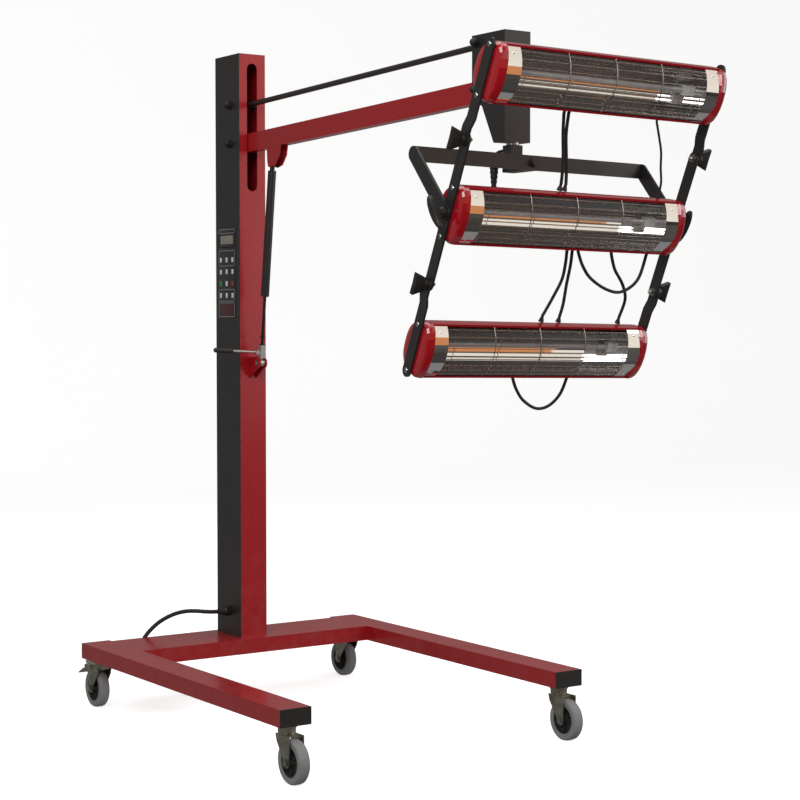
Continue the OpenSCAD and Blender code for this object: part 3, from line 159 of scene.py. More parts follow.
def coil_at(turn):
    """In over two turns, up a layer in half a turn, and out again."""
    reach = COIL_IN_R + PITCH * abs(turn - COIL_TOTAL / 2)
    height = CORD_D / 2 + OVER_FLOOR + PITCH * min(max((turn - COIL_TURNS) * 2, 0), 1)
    angle = radians(COIL_START + 360 * turn)
    return at_column(COIL_MIDDLE[0] + reach * cos(angle), COIL_MIDDLE[1] + reach * sin(angle), height)


def coil_way(turn):
    """One cord's thickness along the coil."""
    angle = radians(COIL_START + 360 * turn)
    return Vector((-sin(angle), cos(angle), 0)) * CORD_D * MM


gland_tip = at_column(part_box("cable_gland")[0].x / MM, GLAND_Y, GLAND_Z)
enter = coil_at(0) - coil_way(0)
leave = coil_at(COIL_TOTAL) + coil_way(COIL_TOTAL)
free_route = smooth([gland_tip] + [at_column(*p) for p in CORD_POINTS]
                    + [enter - 2 * coil_way(0), enter - coil_way(0)], CORD_STEPS)
coil_route = [coil_at(i / COIL_STEPS) for i in range(int(COIL_TOTAL * COIL_STEPS) + 1)]
cord_route = free_route + [enter] + coil_route + [leave]
mains_cord = tube_along("mains_cord_whole", cord_route, CORD_D * MM)
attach(mains_cord, "root")
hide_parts("mains_cord", "cord_coil")
length_of(cord_route)
print("mains cord", round(length_of(cord_route), 3), "m long")

# %% [markdown]
# Every finish is a small network on one shader. Written out by hand such networks are long, so a class
# wraps a node's output and turns plus, times and more-than into Math nodes, and one method makes any node.

# %% A finish and its maths
class Value:
    """A node's output that can be added, multiplied and compared."""

    def __init__(self, finish, output):
        self.finish = finish
        self.output = output

    def maths(self, operation, a, b):
        return self.finish.node("ShaderNodeMath", {"operation": operation}, {0: a, 1: b})

    def __add__(self, other):
        return self.maths("ADD", self, other)

    def __mul__(self, other):
        return self.maths("MULTIPLY", self, other)

    def __gt__(self, other):
        return self.maths("GREATER_THAN", self, other)


def tone(red, green, blue):
    """A screen colour from 0 to 255 as the light that the shader wants."""
    def light(c):
        c = c / 255
        return c / 12.92 if c <= 0.04045 else ((c + 0.055) / 1.055) ** 2.4
    return (light(red), light(green), light(blue), 1)


class Finish:
    """One material: constants are set on the shader, and what varies is plugged in."""

    def __init__(self, name, constants):
        self.material = bpy.data.materials.new(name)
        self.material.use_nodes = True
        self.tree = self.material.node_tree
        self.shader = self.tree.nodes["Principled BSDF"]
        for socket, value in constants.items():
            self.shader.inputs[socket].default_value = value
        self.place = self.node("ShaderNodeTexCoord", {}, {}, "Object")

    def node(self, kind, settings, sockets, output=0):
        made = self.tree.nodes.new(kind)
        for name, value in settings.items():
            setattr(made, name, value)
        for key, value in sockets.items():
            self.plug(made.inputs[key], value)
        return Value(self, made.outputs[output])

    def plug(self, socket, value):
        if isinstance(value, Value):
            self.tree.links.new(value.output, socket)
        else:
            socket.default_value = value

    def noise(self, scale, detail, stretch=(1, 1, 1)):
        spot = self.node("ShaderNodeMapping", {}, {"Vector": self.place, "Scale": stretch})
        sockets = {"Vector": spot, "Scale": scale, "Detail": detail}
        return self.node("ShaderNodeTexNoise", {}, sockets, "Fac")

    def axis(self, name):
        return self.node("ShaderNodeSeparateXYZ", {}, {"Vector": self.place}, name)

    def spread(self, value, low, high):
        """Nought at low, one at high and even between them."""
        return self.node("ShaderNodeMapRange", {}, {"Value": value, "From Min": low, "From Max": high})

    def mix(self, factor, a, b):
        return self.node("ShaderNodeMix", {"data_type": "RGBA"}, {0: factor, 6: a, 7: b}, 2)

    def bump(self, height, strength, distance):
        sockets = {"Height": height, "Strength": strength, "Distance": distance}
        return self.node("ShaderNodeBump", {}, sockets, "Normal")

    def wear(self, **plugs):
        """Plugs the varying values into the shader. A socket's name has _ for its space."""
        for socket, value in plugs.items():
            self.plug(self.shader.inputs[socket.replace("_", " ")], value)
        return self.material


def shade_of(colour, share):
    return (*[c * share for c in colour[:3]], 1)


print("finishes can be written as sums")

# %% [markdown]
# Powder coat is sprayed as dust and baked. It is glossy but never flat: it has a fine orange peel, its
# gloss changes from hand to hand, and a little dust settles low down. Noise at three sizes gives that.

# %% Powder coats
CLOUDS = 2.5
RUBS = 14
SPECKS = 30
PEEL = 700
PEEL_DEEP = 0.0004
DUSTY_BELOW = 0.45
DUSTIEST = 0.05
DUST = tone(150, 135, 120)


def powder_coat(name, colour, gloss, peel, coat):
    f = Finish(name, {"Coat Weight": coat, "Coat Roughness": 0.08, "Specular IOR Level": 0.5})
    cloud = f.noise(CLOUDS, 4)
    rub = f.spread(f.noise(RUBS, 6), 0.55, 0.8)
    dust = f.spread(f.axis("Z"), DUSTY_BELOW, DUSTIEST) * f.spread(f.noise(SPECKS, 5), 0.4, 0.75)
    body = f.mix(cloud, shade_of(colour, 0.86), shade_of(colour, 1.1))
    dusty = f.mix(dust * 0.12, body, DUST)
    grain = f.bump(f.noise(PEEL, 2), peel, PEEL_DEEP)
    return f.wear(Base_Color=dusty, Roughness=rub * 0.12 + gloss + dust * 0.1, Normal=grain)


red_coat = powder_coat("red_coat", tone(178, 22, 30), 0.26, 0.14, 0.18)
black_coat = powder_coat("black_coat", tone(42, 40, 39), 0.38, 0.3, 0.05)
lamp_red = powder_coat("lamp_red", tone(186, 16, 30), 0.13, 0.06, 0.7)
print("powder coats:", red_coat.name, black_coat.name, lamp_red.name)

# %% [markdown]
# Bare metals differ in how they were made. The mirror sheet is rolled, so its faint streaks and slow waves
# run along the lamp. Zinc has dull greenish and straw-coloured clouds, and steel parts show turning marks.

# %% Metals
STREAKS = 60
WAVES = 9
MARKS = 500
MARK_DEEP = 0.0003


def mirror_finish():
    f = Finish("mirror_sheet", {"Metallic": 1.0})
    streak = f.noise(STREAKS, 3, (0.12, 1, 1))
    warm = f.spread(f.noise(5, 3), 0.35, 0.7)
    colour = f.mix(warm * 0.2, tone(240, 239, 238), tone(226, 214, 198))
    waves = f.bump(f.noise(WAVES, 2, (0.6, 1, 1)), 0.012, 0.004)
    return f.wear(Base_Color=colour, Roughness=streak * 0.015 + 0.025, Normal=waves)


def worked_metal(name, bright, dull, roughness, clouds, stretch=(1, 1, 1)):
    f = Finish(name, {"Metallic": 1.0})
    cloud = f.spread(f.noise(clouds, 5), 0.3, 0.7)
    marks = f.bump(f.noise(MARKS, 2, stretch), 0.15, MARK_DEEP)
    colour = f.mix(cloud, bright, dull)
    return f.wear(Base_Color=colour, Roughness=cloud * 0.12 + roughness, Normal=marks)


mirror_sheet = mirror_finish()
zinc = worked_metal("zinc", tone(176, 174, 160), tone(132, 129, 112), 0.3, 55)
steel = worked_metal("steel", tone(214, 214, 212), tone(176, 176, 174), 0.2, 80, (1, 1, 0.2))
wire = worked_metal("wire", tone(176, 168, 160), tone(120, 114, 108), 0.22, 120)
print("metals:", mirror_sheet.name, zinc.name, steel.name, wire.name)

# %% [markdown]
# Moulded parts are dull where the mould was etched. Tyres are a light grey with scuffs on the tread, and
# the hubs, knobs and cords are near black but never quite, with a soft sheen.

# %% Plastics and rubber
MOULD_CLOUDS = 40
SCUFFS = 160
SCUFFED = tone(150, 145, 140)


def moulded(name, colour, roughness, grain_size, grain, scuff=0.0):
    f = Finish(name, {"Specular IOR Level": 0.4})
    cloud = f.noise(MOULD_CLOUDS, 4)
    scuffs = f.spread(f.noise(SCUFFS, 6), 0.58, 0.75) * scuff
    colour = f.mix(cloud, shade_of(colour, 0.8), shade_of(colour, 1.2))
    colour = f.mix(scuffs, colour, SCUFFED)
    etched = f.bump(f.noise(grain_size, 2), grain, PEEL_DEEP)
    return f.wear(Base_Color=colour, Roughness=cloud * 0.15 + roughness, Normal=etched)


black_plastic = moulded("black_plastic", tone(38, 37, 36), 0.36, 900, 0.25, 0.05)
tyre_grey = moulded("tyre_grey", tone(150, 150, 150), 0.6, 300, 0.2, 0.35)
hub_black = moulded("hub_black", tone(46, 46, 47), 0.42, 700, 0.25, 0.12)
cord_rubber = moulded("cord_rubber", tone(44, 43, 42), 0.5, 400, 0.2, 0.04)
board_green = moulded("board_green", tone(24, 90, 56), 0.35, 200, 0.1)
print("moulded finishes: five")

# %% [markdown]
# The quartz tube is clear with a frosted skin and a filament that shows as a faint streak. Its ends sit in
# white ceramic, so one material picks between the two by the place along the lamp.

# %% Quartz tube
def quartz_finish(half):
    f = Finish("quartz", {"Specular IOR Level": 0.6, "Coat Weight": 0.4})
    end = f.node("ShaderNodeMath", {"operation": "ABSOLUTE"}, {0: f.axis("X")}) > half
    frost = f.noise(220, 3, (0.15, 1, 1))
    glass = f.mix(frost, tone(150, 148, 150), tone(222, 218, 216))
    colour = f.mix(end, glass, tone(235, 234, 230))
    return f.wear(Base_Color=colour, Roughness=end * 0.35 + frost * 0.1 + 0.08,
                  Normal=f.bump(frost, 0.1, 0.0006))


CERAMIC_L = 15 * MM
glass_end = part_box("mid_tube")[1].x - CERAMIC_L
quartz = quartz_finish(glass_end)
print("ceramic starts", round(glass_end, 3), "m from the lamp's middle")

# %% [markdown]
# A part that is steel in one place and black plastic in another gets one material with a step in it. The
# step is a plane, given by a point and a direction in the part's own coordinates.

# %% Two finishes on one part
def two_part(name, point, way, far, near):
    """far and near are each a colour, a share of metal and a roughness."""
    f = Finish(name, {})
    offset = f.node("ShaderNodeVectorMath", {"operation": "SUBTRACT"}, {0: f.place, 1: tuple(point)})
    along = f.node("ShaderNodeVectorMath", {"operation": "DOT_PRODUCT"}, {0: offset, 1: tuple(way)}, "Value")
    side = along > 0.0
    cloud = f.noise(90, 4)
    colour = f.mix(cloud * 0.25, f.mix(side, near[0], far[0]), shade_of(near[0], 0.7))
    return f.wear(Base_Color=colour, Metallic=side * (far[1] - near[1]) + near[1],
                  Roughness=side * (far[2] - near[2]) + near[2] + cloud * 0.1,
                  Normal=f.bump(f.noise(600, 2), 0.15, MARK_DEEP))


GRIP_L = 56 * MM
POST_SHOWS = 5 * MM
BLOCK_TOP = 56 * MM
grip_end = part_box("release_lever")[0].x + GRIP_L
post_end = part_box("head_box")[0].z - POST_SHOWS
block_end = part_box("strut_rod")[0].z + BLOCK_TOP
lever_steel = two_part("lever_steel", (grip_end, 0, 0), (1, 0, 0), (tone(205, 205, 203), 1.0, 0.22),
                       (tone(40, 39, 38), 0.0, 0.4))
post_black = two_part("post_black", (0, 0, post_end), (0, 0, 1), (tone(200, 200, 198), 1.0, 0.25),
                      (tone(42, 40, 39), 0.0, 0.4))
rod_dark = two_part("rod_dark", (0, 0, block_end), (0, 0, -1), (tone(228, 228, 224), 1.0, 0.34),
                    (tone(52, 51, 52), 0.6, 0.25))
print("lever's grip ends at x", round(grip_end, 3))

# %% Finishes on the frame's parts
def paint(finish, *names):
    for name in names:
        for place in nodes[name].material_slots:
            place.material = finish


paint(red_coat, "left_leg", "right_leg", "crossbar", "column", "arm")
paint(black_coat, "side_cover", "tie_rod", "head_box", "yoke", "top_bars", "mid_bars", "low_bars",
      "strut_cylinder")
paint(black_plastic, "leg_end_caps", "cable_gland", "mains_plug", "pivot_pins", "head_pins", "keypad",
      "display_window", "tilt_knob_left", "tilt_knob_right", "wing_knob_ul", "wing_knob_ur", "wing_knob_ll",
      "wing_knob_lr")
paint(cord_rubber, "mains_cord", "cord_coil", "supply_lead", "upper_leads", "lower_leads")
paint(steel, "strut_bolt", "base_bolts")
paint(rod_dark, "strut_rod")
paint(lever_steel, "release_lever")
paint(post_black, "swivel_post")
paint(board_green, "control_board")
paint(zinc, "caster_stems", "brake_pedal_rl", "brake_pedal_rr")
CORNERS = ("fl", "fr", "rl", "rr")
paint(zinc, *["caster_fork_" + corner for corner in CORNERS])
paint(tyre_grey, *["caster_wheel_" + corner for corner in CORNERS])
LAMPS = ("top", "mid", "low")
for lamp in LAMPS:
    paint(lamp_red, lamp + "_housing")
    paint(mirror_sheet, lamp + "_reflector")
    paint(wire, lamp + "_grille")
    paint(quartz, lamp + "_tube")
mains_cord.data.materials.append(cord_rubber)
print("every part has its finish")

# %% [markdown]
# The CAD parts stay where their shape is right. What hands and eyes meet first is modelled again here:
# wheels, knobs, screws, keys and leads. Turned forms start as half a profile, drawn in millimetres as
# places along an axis and radii, and spin makes the skin. Flat forms start as a bevelled block.

# %% Small tools for modelling
SMOOTH_BELOW = 32
SHARP_ABOVE = 30
ROUND_BELOW = 40
ROUND_SEGMENTS = 3
WELD = 0.00001


def alone(piece):
    """Selects one piece only."""
    bpy.ops.object.select_all(action="DESELECT")
    piece.select_set(True)
    bpy.context.view_layer.objects.active = piece


def turned(profile, steps):
    """A profile of places along X and radii, spun round X."""
    mesh = bpy.data.meshes.new("turned")
    edges = [(i, i + 1) for i in range(len(profile) - 1)]
    mesh.from_pydata([(x * MM, 0, r * MM) for x, r in profile], edges, [])
    piece = bpy.data.objects.new("turned", mesh)
    bpy.context.scene.collection.objects.link(piece)
    alone(piece)
    bpy.ops.object.mode_set(mode="EDIT")
    bpy.ops.mesh.select_all(action="SELECT")
    bpy.ops.mesh.spin(steps=steps, angle=2 * pi, center=(0, 0, 0), axis=(1, 0, 0))
    bpy.ops.mesh.select_all(action="SELECT")
    bpy.ops.mesh.remove_doubles(threshold=WELD)
    bpy.ops.mesh.normals_make_consistent(inside=False)
    bpy.ops.object.mode_set(mode="OBJECT")
    bpy.ops.object.shade_smooth_by_angle(angle=radians(SMOOTH_BELOW))
    return piece


def block(size, middle, edge=0.0, cuts=0):
    """A block sized and placed in millimetres, with rounded edges or with cuts for shaping."""
    bpy.ops.object.select_all(action="DESELECT")
    bpy.ops.mesh.primitive_cube_add(size=1)
    piece = bpy.context.object
    piece.data.transform(shift(*middle) @ Matrix.Diagonal((*[s * MM for s in size], 1)))
    if cuts:
        bpy.ops.object.mode_set(mode="EDIT")
        bpy.ops.mesh.select_all(action="SELECT")
        bpy.ops.mesh.subdivide(number_cuts=cuts)
        bpy.ops.object.mode_set(mode="OBJECT")
    else:
        soften(piece, edge)
    return piece


def soften(piece, edge, angle=SHARP_ABOVE):
    """Rounds the edges that are sharper than angle."""
    alone(piece)
    round_off = piece.modifiers.new("round", "BEVEL")
    round_off.width = edge * MM
    round_off.segments = ROUND_SEGMENTS
    round_off.angle_limit = radians(angle)
    bpy.ops.object.modifier_apply(modifier="round")
    bpy.ops.object.shade_smooth_by_angle(angle=radians(ROUND_BELOW))


def joined(parts):
    """One piece from several."""
    bpy.ops.object.select_all(action="DESELECT")
    for part in parts:
        part.select_set(True)
    bpy.context.view_layer.objects.active = parts[0]
    if len(parts) > 1:
        bpy.ops.object.join()
    return parts[0]


def moved(piece, matrix):
    piece.data.transform(matrix)
    return piece


def shift(x, y, z):
    return Matrix.Translation(Vector((x, y, z)) * MM)


def stand(origin, across, up):
    """A local frame with X across, Y back and Z up."""
    across = Vector(across).normalized()
    up = (Vector(up) - Vector(up).dot(across) * across).normalized()
    turn = Matrix((across, up.cross(across), up)).transposed()
    return Matrix.Translation(origin) @ turn.to_4x4()


def dress(piece, name, finish, body, swaps=()):
    """Names and paints a piece and, where a body is given, lets it ride on it."""
    piece.name = name
    piece.data.materials.clear()
    piece.data.materials.append(finish)
    if body:
        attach(piece, body)
    if swaps:
        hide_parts(*swaps)
    return piece


print("tools ready")

# %% [markdown]
# A caster wheel is two mouldings: a grey tyre with rounded shoulders round a dark hub. The hub is a thin
# disc between a thick bore and a rim, and six ribs stiffen it, so each side shows a deep ribbed recess.

# %% Caster wheels
TYRE = [(-12.5, 34.6), (-12.5, 38), (-13.9, 43), (-13.2, 47.5), (-10, 50.2), (-5, 51), (5, 51), (10, 50.2),
        (13.2, 47.5), (13.9, 43), (12.5, 38), (12.5, 34.6), (-12.5, 34.6)]
HUB = [(-15.3, 5.2), (-15.3, 8.6), (-14.3, 9.6), (-6, 11), (-3.5, 14), (-3.5, 26), (-6, 29.5), (-12.2, 31),
       (-12.4, 34.5), (12.4, 34.5), (12.2, 31), (6, 29.5), (3.5, 26), (3.5, 14), (6, 11), (14.3, 9.6),
       (15.3, 8.6), (15.3, 5.2), (-15.3, 5.2)]
HUB_STEPS = 48
TYRE_STEPS = 64
RIBS = 6
RIB_SIZE = (17, 2.4, 19)
RIB_MIDDLE = (0, 0, 20)
RIB_EDGE = 0.5
for corner in CORNERS:
    axle = stand(joints["roll_" + corner]["pos_m"], (1, 0, 0), (0, 0, 1))
    body = "wheel_" + corner
    ribs = []
    for k in range(RIBS):
        rib = block(RIB_SIZE, RIB_MIDDLE, RIB_EDGE)
        ribs.append(moved(rib, Matrix.Rotation(2 * pi * k / RIBS, 4, "X")))
    hub = joined([turned(HUB, HUB_STEPS)] + ribs)
    dress(moved(hub, axle), "hub_" + corner, hub_black, body)
    tyre = moved(turned(TYRE, TYRE_STEPS), axle)
    dress(tyre, "tyre_" + corner, tyre_grey, body, ["caster_wheel_" + corner])
print("four wheels with", RIBS, "ribs each")

# %% [markdown]
# The lamps share a tilted frame: across, back and up, taken from the joints, so pieces are placed by plain
# numbers in it. The side bars are held by pan-head screws with a hexagon recess, and each joint between two
# bars has a washer, a nut and the end of a screw on its inner side.

# %% Screws and nuts of the side bars
tilt_place = Vector(joints["lamps_tilt"]["pos_m"])
tilt_across = Vector(joints["lamps_tilt"]["axis"])
lamps_up = Vector(joints["top_lamp_tilt"]["pos_m"]) - tilt_place
AT_LAMPS = stand(tilt_place, tilt_across, lamps_up)
SIDE_X = 294
SIDE_T = 5
SCREW_Z = 52
JOINT_Z = 155
LAMP_PITCH = 297
HEAD = [(-0.2, 0), (-0.2, 5.5), (0.9, 5.6), (2.3, 4.7), (3.2, 3.2), (3.4, 2.1), (1.8, 1.9), (1.8, 0)]
WASHER = [(0, 0), (0, 8.5), (1.6, 8.5), (1.6, 0)]
NUT = [(1.6, 0), (1.6, 6.4), (2.2, 7), (7, 7), (7.6, 6.4), (7.6, 0)]
TIP = [(7, 0), (7, 2.9), (11.5, 2.9), (12.3, 2.2), (12.3, 0)]
HEAD_STEPS = 24
WASHER_STEPS = 28
NUT_SIDES = 6
TIP_STEPS = 16


def outward(side, x, y, z):
    """A frame in the lamps' frame whose X points out to the side."""
    return AT_LAMPS @ shift(side * x, y, z) @ Matrix.Rotation(0 if side > 0 else pi, 4, "Z")


for lamp, level in (("top", 1), ("mid", 0), ("low", -1)):
    heads = []
    for side in (-1, 1):
        for s in (-1, 1):
            spot = outward(side, SIDE_X + SIDE_T, 0, level * LAMP_PITCH + s * SCREW_Z)
            heads.append(moved(turned(HEAD, HEAD_STEPS), spot))
    dress(joined(heads), lamp + "_bar_screws", steel, lamp + "_lamp")
nuts = []
for side in (-1, 1):
    for s in (-1, 1):
        spot = outward(side, SIDE_X, 0, s * JOINT_Z) @ Matrix.Rotation(pi, 4, "Z")
        for profile, steps in ((WASHER, WASHER_STEPS), (NUT, NUT_SIDES), (TIP, TIP_STEPS)):
            nuts.append(moved(turned(profile, steps), spot))
dress(joined(nuts), "joint_nuts", steel, "mid_lamp")
print("twelve screws, four nuts")

# %% [markdown]
# The joints are clamped by hand. At the bars these are wing knobs, which widen outwards from the hub, and at
# the yoke an oval grip on a round neck. Both are black mouldings with softened edges.

# %% Knobs
WING_SIZE = (25, 15, 48)
WING_CUTS = 5
WING_EDGE = 1.4
WING_SHARP = 40
WAIST = 0.6
TIP_THINNER = 0.2
DISH = 2
WING_PLACE_X = 310
KNOB_STEPS = 32
WING_HUB = [(-5.4, 0), (-5.4, 11.6), (-4.6, 12.2), (0, 12.2), (2.6, 10.6), (3.6, 0)]
GRIP_HUB = [(-14.4, 0), (-14.4, 11), (-13.4, 12), (-8, 11.2), (-2, 9), (-0.5, 0)]
GRIP_HALF = Vector((12, 10.5, 41.5)) * MM
GRIP_FLAT = Vector((8.8, 7.6, 39)) * MM
GRIP_OUT = 6.3
GRIP_TURN = 33
GRIP_STEPS = 40
GRIP_RINGS = 24
GRIP_SMOOTH = 35


def wing_knob():
    """A block that widens outwards, thins to its tips and has a dished end."""
    wing = block(WING_SIZE, (WING_SIZE[0] / 2, 0, 0), cuts=WING_CUTS)
    for v in wing.data.vertices:
        out = v.co.x / (WING_SIZE[0] * MM)
        share = abs(v.co.z) / (WING_SIZE[2] / 2 * MM)
        v.co.z *= WAIST + (1 - WAIST) * out
        v.co.y *= 1 - TIP_THINNER * share
        v.co.x -= DISH * MM * (1 - share) * (out > 0.99)
    soften(wing, WING_EDGE, WING_SHARP)
    return joined([turned(WING_HUB, KNOB_STEPS), wing])


def oval_knob():
    """A ball stretched to a long oval and pressed flat on its sides."""
    bpy.ops.object.select_all(action="DESELECT")
    bpy.ops.mesh.primitive_uv_sphere_add(segments=GRIP_STEPS, ring_count=GRIP_RINGS, radius=1)
    grip = bpy.context.object
    for v in grip.data.vertices:
        for k in range(3):
            reach = v.co[k] * GRIP_HALF[k]
            v.co[k] = max(-GRIP_FLAT[k], min(GRIP_FLAT[k], reach))
    bpy.ops.object.shade_smooth_by_angle(angle=radians(GRIP_SMOOTH))
    moved(grip, shift(GRIP_OUT, 0, 0) @ Matrix.Rotation(radians(GRIP_TURN), 4, "X"))
    return joined([turned(GRIP_HUB, KNOB_STEPS), grip])


for key in ("ul", "ur", "ll", "lr"):
    side = -1 if key[1] == "l" else 1
    level = 1 if key[0] == "u" else -1
    spot = outward(side, WING_PLACE_X, 0, level * JOINT_Z)
    dress(moved(wing_knob(), spot), "wing_grip_" + key, black_plastic, "wing_" + key,
          ["wing_knob_" + key])
for name, side in (("left", -1), ("right", 1)):
    spot = stand(joints["tilt_knob_turn_" + name]["pos_m"], side * tilt_across, (0, 0, 1))
    dress(moved(oval_knob(), spot), "oval_grip_" + name, black_plastic, "tilt_" + name,
          ["tilt_knob_" + name])
print("six knobs")

# %% [markdown]
# The leads between the lamps are smooth round cables that hang in their own curves and end in small rubber
# sleeves. A lead that crosses a joint is baked where it lies and rides on no body.

# %% Leads between the lamps
LAMP_H = 122
LAMP_D = 62
LEAD_Y = 30
CHORD_BACK = -18
SLEEVE_H = 8
LEAD_D = 7
THIN_D = 5
SHELL_POWER = 2.6
SHELL_LIP = 6
SEAT_GAP = 0.3
LEAD_STEPS = 8
SLEEVE_STEPS = 20
shell_share = (LEAD_Y - SHELL_LIP) / LAMP_D
LEAD_SEAT = LAMP_H / 2 * (1 - shell_share**SHELL_POWER) ** (1 / SHELL_POWER) + SEAT_GAP


def in_lamps(x, y, z):
    return AT_LAMPS @ (Vector((x, y, z)) * MM)


def sleeve(spot, d):
    profile = [(0, 0), (0, 0.85 * d), (1.2, 0.9 * d), (4, 0.75 * d), (SLEEVE_H, 0.6 * d), (SLEEVE_H, 0)]
    return moved(turned(profile, SLEEVE_STEPS), spot)


def up_or_down(x, y, z, way):
    """A frame in the lamps' frame whose X points up or down."""
    return AT_LAMPS @ shift(x, y, z) @ Matrix.Rotation(-way * pi / 2, 4, "Y")


def lead(name, start, end, shares, diameter, bow=0):
    """A lead from start to end, each a lamp's number, a place across and which way it leaves the lamp."""
    y = CHORD_BACK + LEAD_Y
    (k0, x0, way0), (k1, x1, way1) = start, end
    x0 *= LAMP_PITCH
    x1 *= LAMP_PITCH
    seat0 = k0 * LAMP_PITCH + way0 * LEAD_SEAT
    seat1 = k1 * LAMP_PITCH + way1 * LEAD_SEAT
    z0 = seat0 + way0 * SLEEVE_H
    z1 = seat1 + way1 * SLEEVE_H
    middle = [in_lamps(a * LAMP_PITCH, y + bow, b * LAMP_PITCH) for a, b in shares]
    first = in_lamps(x0, y, z0 + way0 * diameter)
    last = in_lamps(x1, y, z1 + way1 * diameter)
    route = [in_lamps(x0, y, z0)] + smooth([first] + middle + [last], LEAD_STEPS) + [in_lamps(x1, y, z1)]
    parts = [tube_along(name, route, diameter * MM)]
    for x, seat, way in ((x0, seat0, way0), (x1, seat1, way1)):
        parts.append(sleeve(up_or_down(x, y, seat, way), diameter))
    return joined(parts)


UPPER = {
    "lead_upper_left": [
        (1, -0.229, -1), (0, -0.088, 1), [(-0.189, 0.606), (-0.138, 0.455), (-0.108, 0.347)], LEAD_D],
    "lead_upper_right": [
        (1, -0.189, -1), (0, -0.046, 1), [(-0.162, 0.606), (-0.111, 0.455), (-0.074, 0.347)], LEAD_D],
    "lead_upper_thin": [
        (1, 0.593, -1), (0, 0.808, 1), [(0.66, 0.64), (0.714, 0.539), (0.754, 0.421), (0.795, 0.32)], THIN_D]}
LOWER = {
    "lead_lower_left": [
        (0, 0.128, -1), (-1, 0.074, 1),
        [(0.148, -0.354), (0.155, -0.471), (0.121, -0.606), (0.084, -0.724)], LEAD_D],
    "lead_lower_mid": [
        (0, 0.175, -1), (-1, 0.229, 1), [(0.195, -0.354), (0.209, -0.505), (0.229, -0.657)], LEAD_D],
    "lead_lower_right": [
        (0, 0.532, -1), (-1, 0.781, 1), [(0.606, -0.37), (0.721, -0.488), (0.788, -0.606)], LEAD_D]}
MIDDLE_LOOP = [(0, 0.229, -1), (0, 0.862, -1),
               [(0.266, -0.337), (0.37, -0.431), (0.539, -0.512), (0.69, -0.529), (0.808, -0.431)], LEAD_D]
LOW_LOOP = [(-1, -0.04, -1), (-1, 0.458, -1),
            [(0.02, -1.34), (0.114, -1.434), (0.253, -1.502), (0.364, -1.481), (0.438, -1.387)], LEAD_D]
for group, body, way in ((UPPER, "top_lamp", 1), (LOWER, "low_lamp", -1)):
    for name, (start, end, shares, diameter) in group.items():
        piece = dress(lead(name, start, end, shares, diameter), name, cord_rubber, None)
        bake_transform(piece)
        print(name, len(piece.data.vertices), "points")
middle_loop = lead("lead_middle_loop", *MIDDLE_LOOP, bow=-2 * LEAD_D)
dress(middle_loop, "lead_middle_loop", cord_rubber, "mid_lamp", ["upper_leads"])
low_loop = lead("lead_low_loop", *LOW_LOOP)
dress(low_loop, "lead_low_loop", cord_rubber, "low_lamp", ["lower_leads"])

# %% [markdown]
# The supply comes down through the hollow post, goes through a lug beside it and hangs in a thick tapered
# boot. From there it sags to the middle lamp's back, where nobody in front sees it.

# %% Supply lead and its boot
YOKE_FALL = 1.05
YOKE_SWING = -1.85
YOKE_TURN = Euler((0, radians(YOKE_FALL), radians(YOKE_SWING))).to_matrix().to_4x4()
AT_YOKE = Matrix.Translation(joints["head_swivel"]["pos_m"]) @ YOKE_TURN
YOKE_DROP = 35
BOOT_L = 52
BOOT_D = 20
TILT_REACH = 191.2
LUG_X = -23
LUG_Y = 36
LUG_T = 5
BLOCK_W = 31
SAG = [(-0.006, -0.018, -0.1), (-0.016, -0.09, -0.19), (-0.02, -0.25, -0.225), (-0.026, -0.46, -0.215)]


def in_yoke(x, y, z):
    return AT_YOKE @ (Vector((x, y, z)) * MM)


lug_z = -YOKE_DROP - SEAT_GAP
boot_end = Vector((LUG_X, LUG_Y, lug_z - BOOT_L - LEAD_D))
lamp_seat = Vector((-LEAD_Y, CHORD_BACK + LAMP_D + SEAT_GAP, BOOT_D / 2))
sag_route = [in_yoke(*boot_end)] + [in_yoke(*(boot_end + Vector(p) * TILT_REACH)) for p in SAG]
back_route = [in_lamps(lamp_seat.x, lamp_seat.y + SLEEVE_H + r * LEAD_D, lamp_seat.z) for r in (5, 1)]
hose_route = [in_yoke(LUG_X, LUG_Y, lug_z - BOOT_L)] + smooth(sag_route + back_route, LEAD_STEPS)
hose_route.append(in_lamps(lamp_seat.x, lamp_seat.y + SLEEVE_H, lamp_seat.z))
hose = joined([tube_along("supply_hose", hose_route, LEAD_D * MM),
               sleeve(AT_LAMPS @ shift(*lamp_seat) @ Matrix.Rotation(pi / 2, 4, "Z"), LEAD_D)])
dress(hose, "supply_hose", cord_rubber, None)
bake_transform(hose)

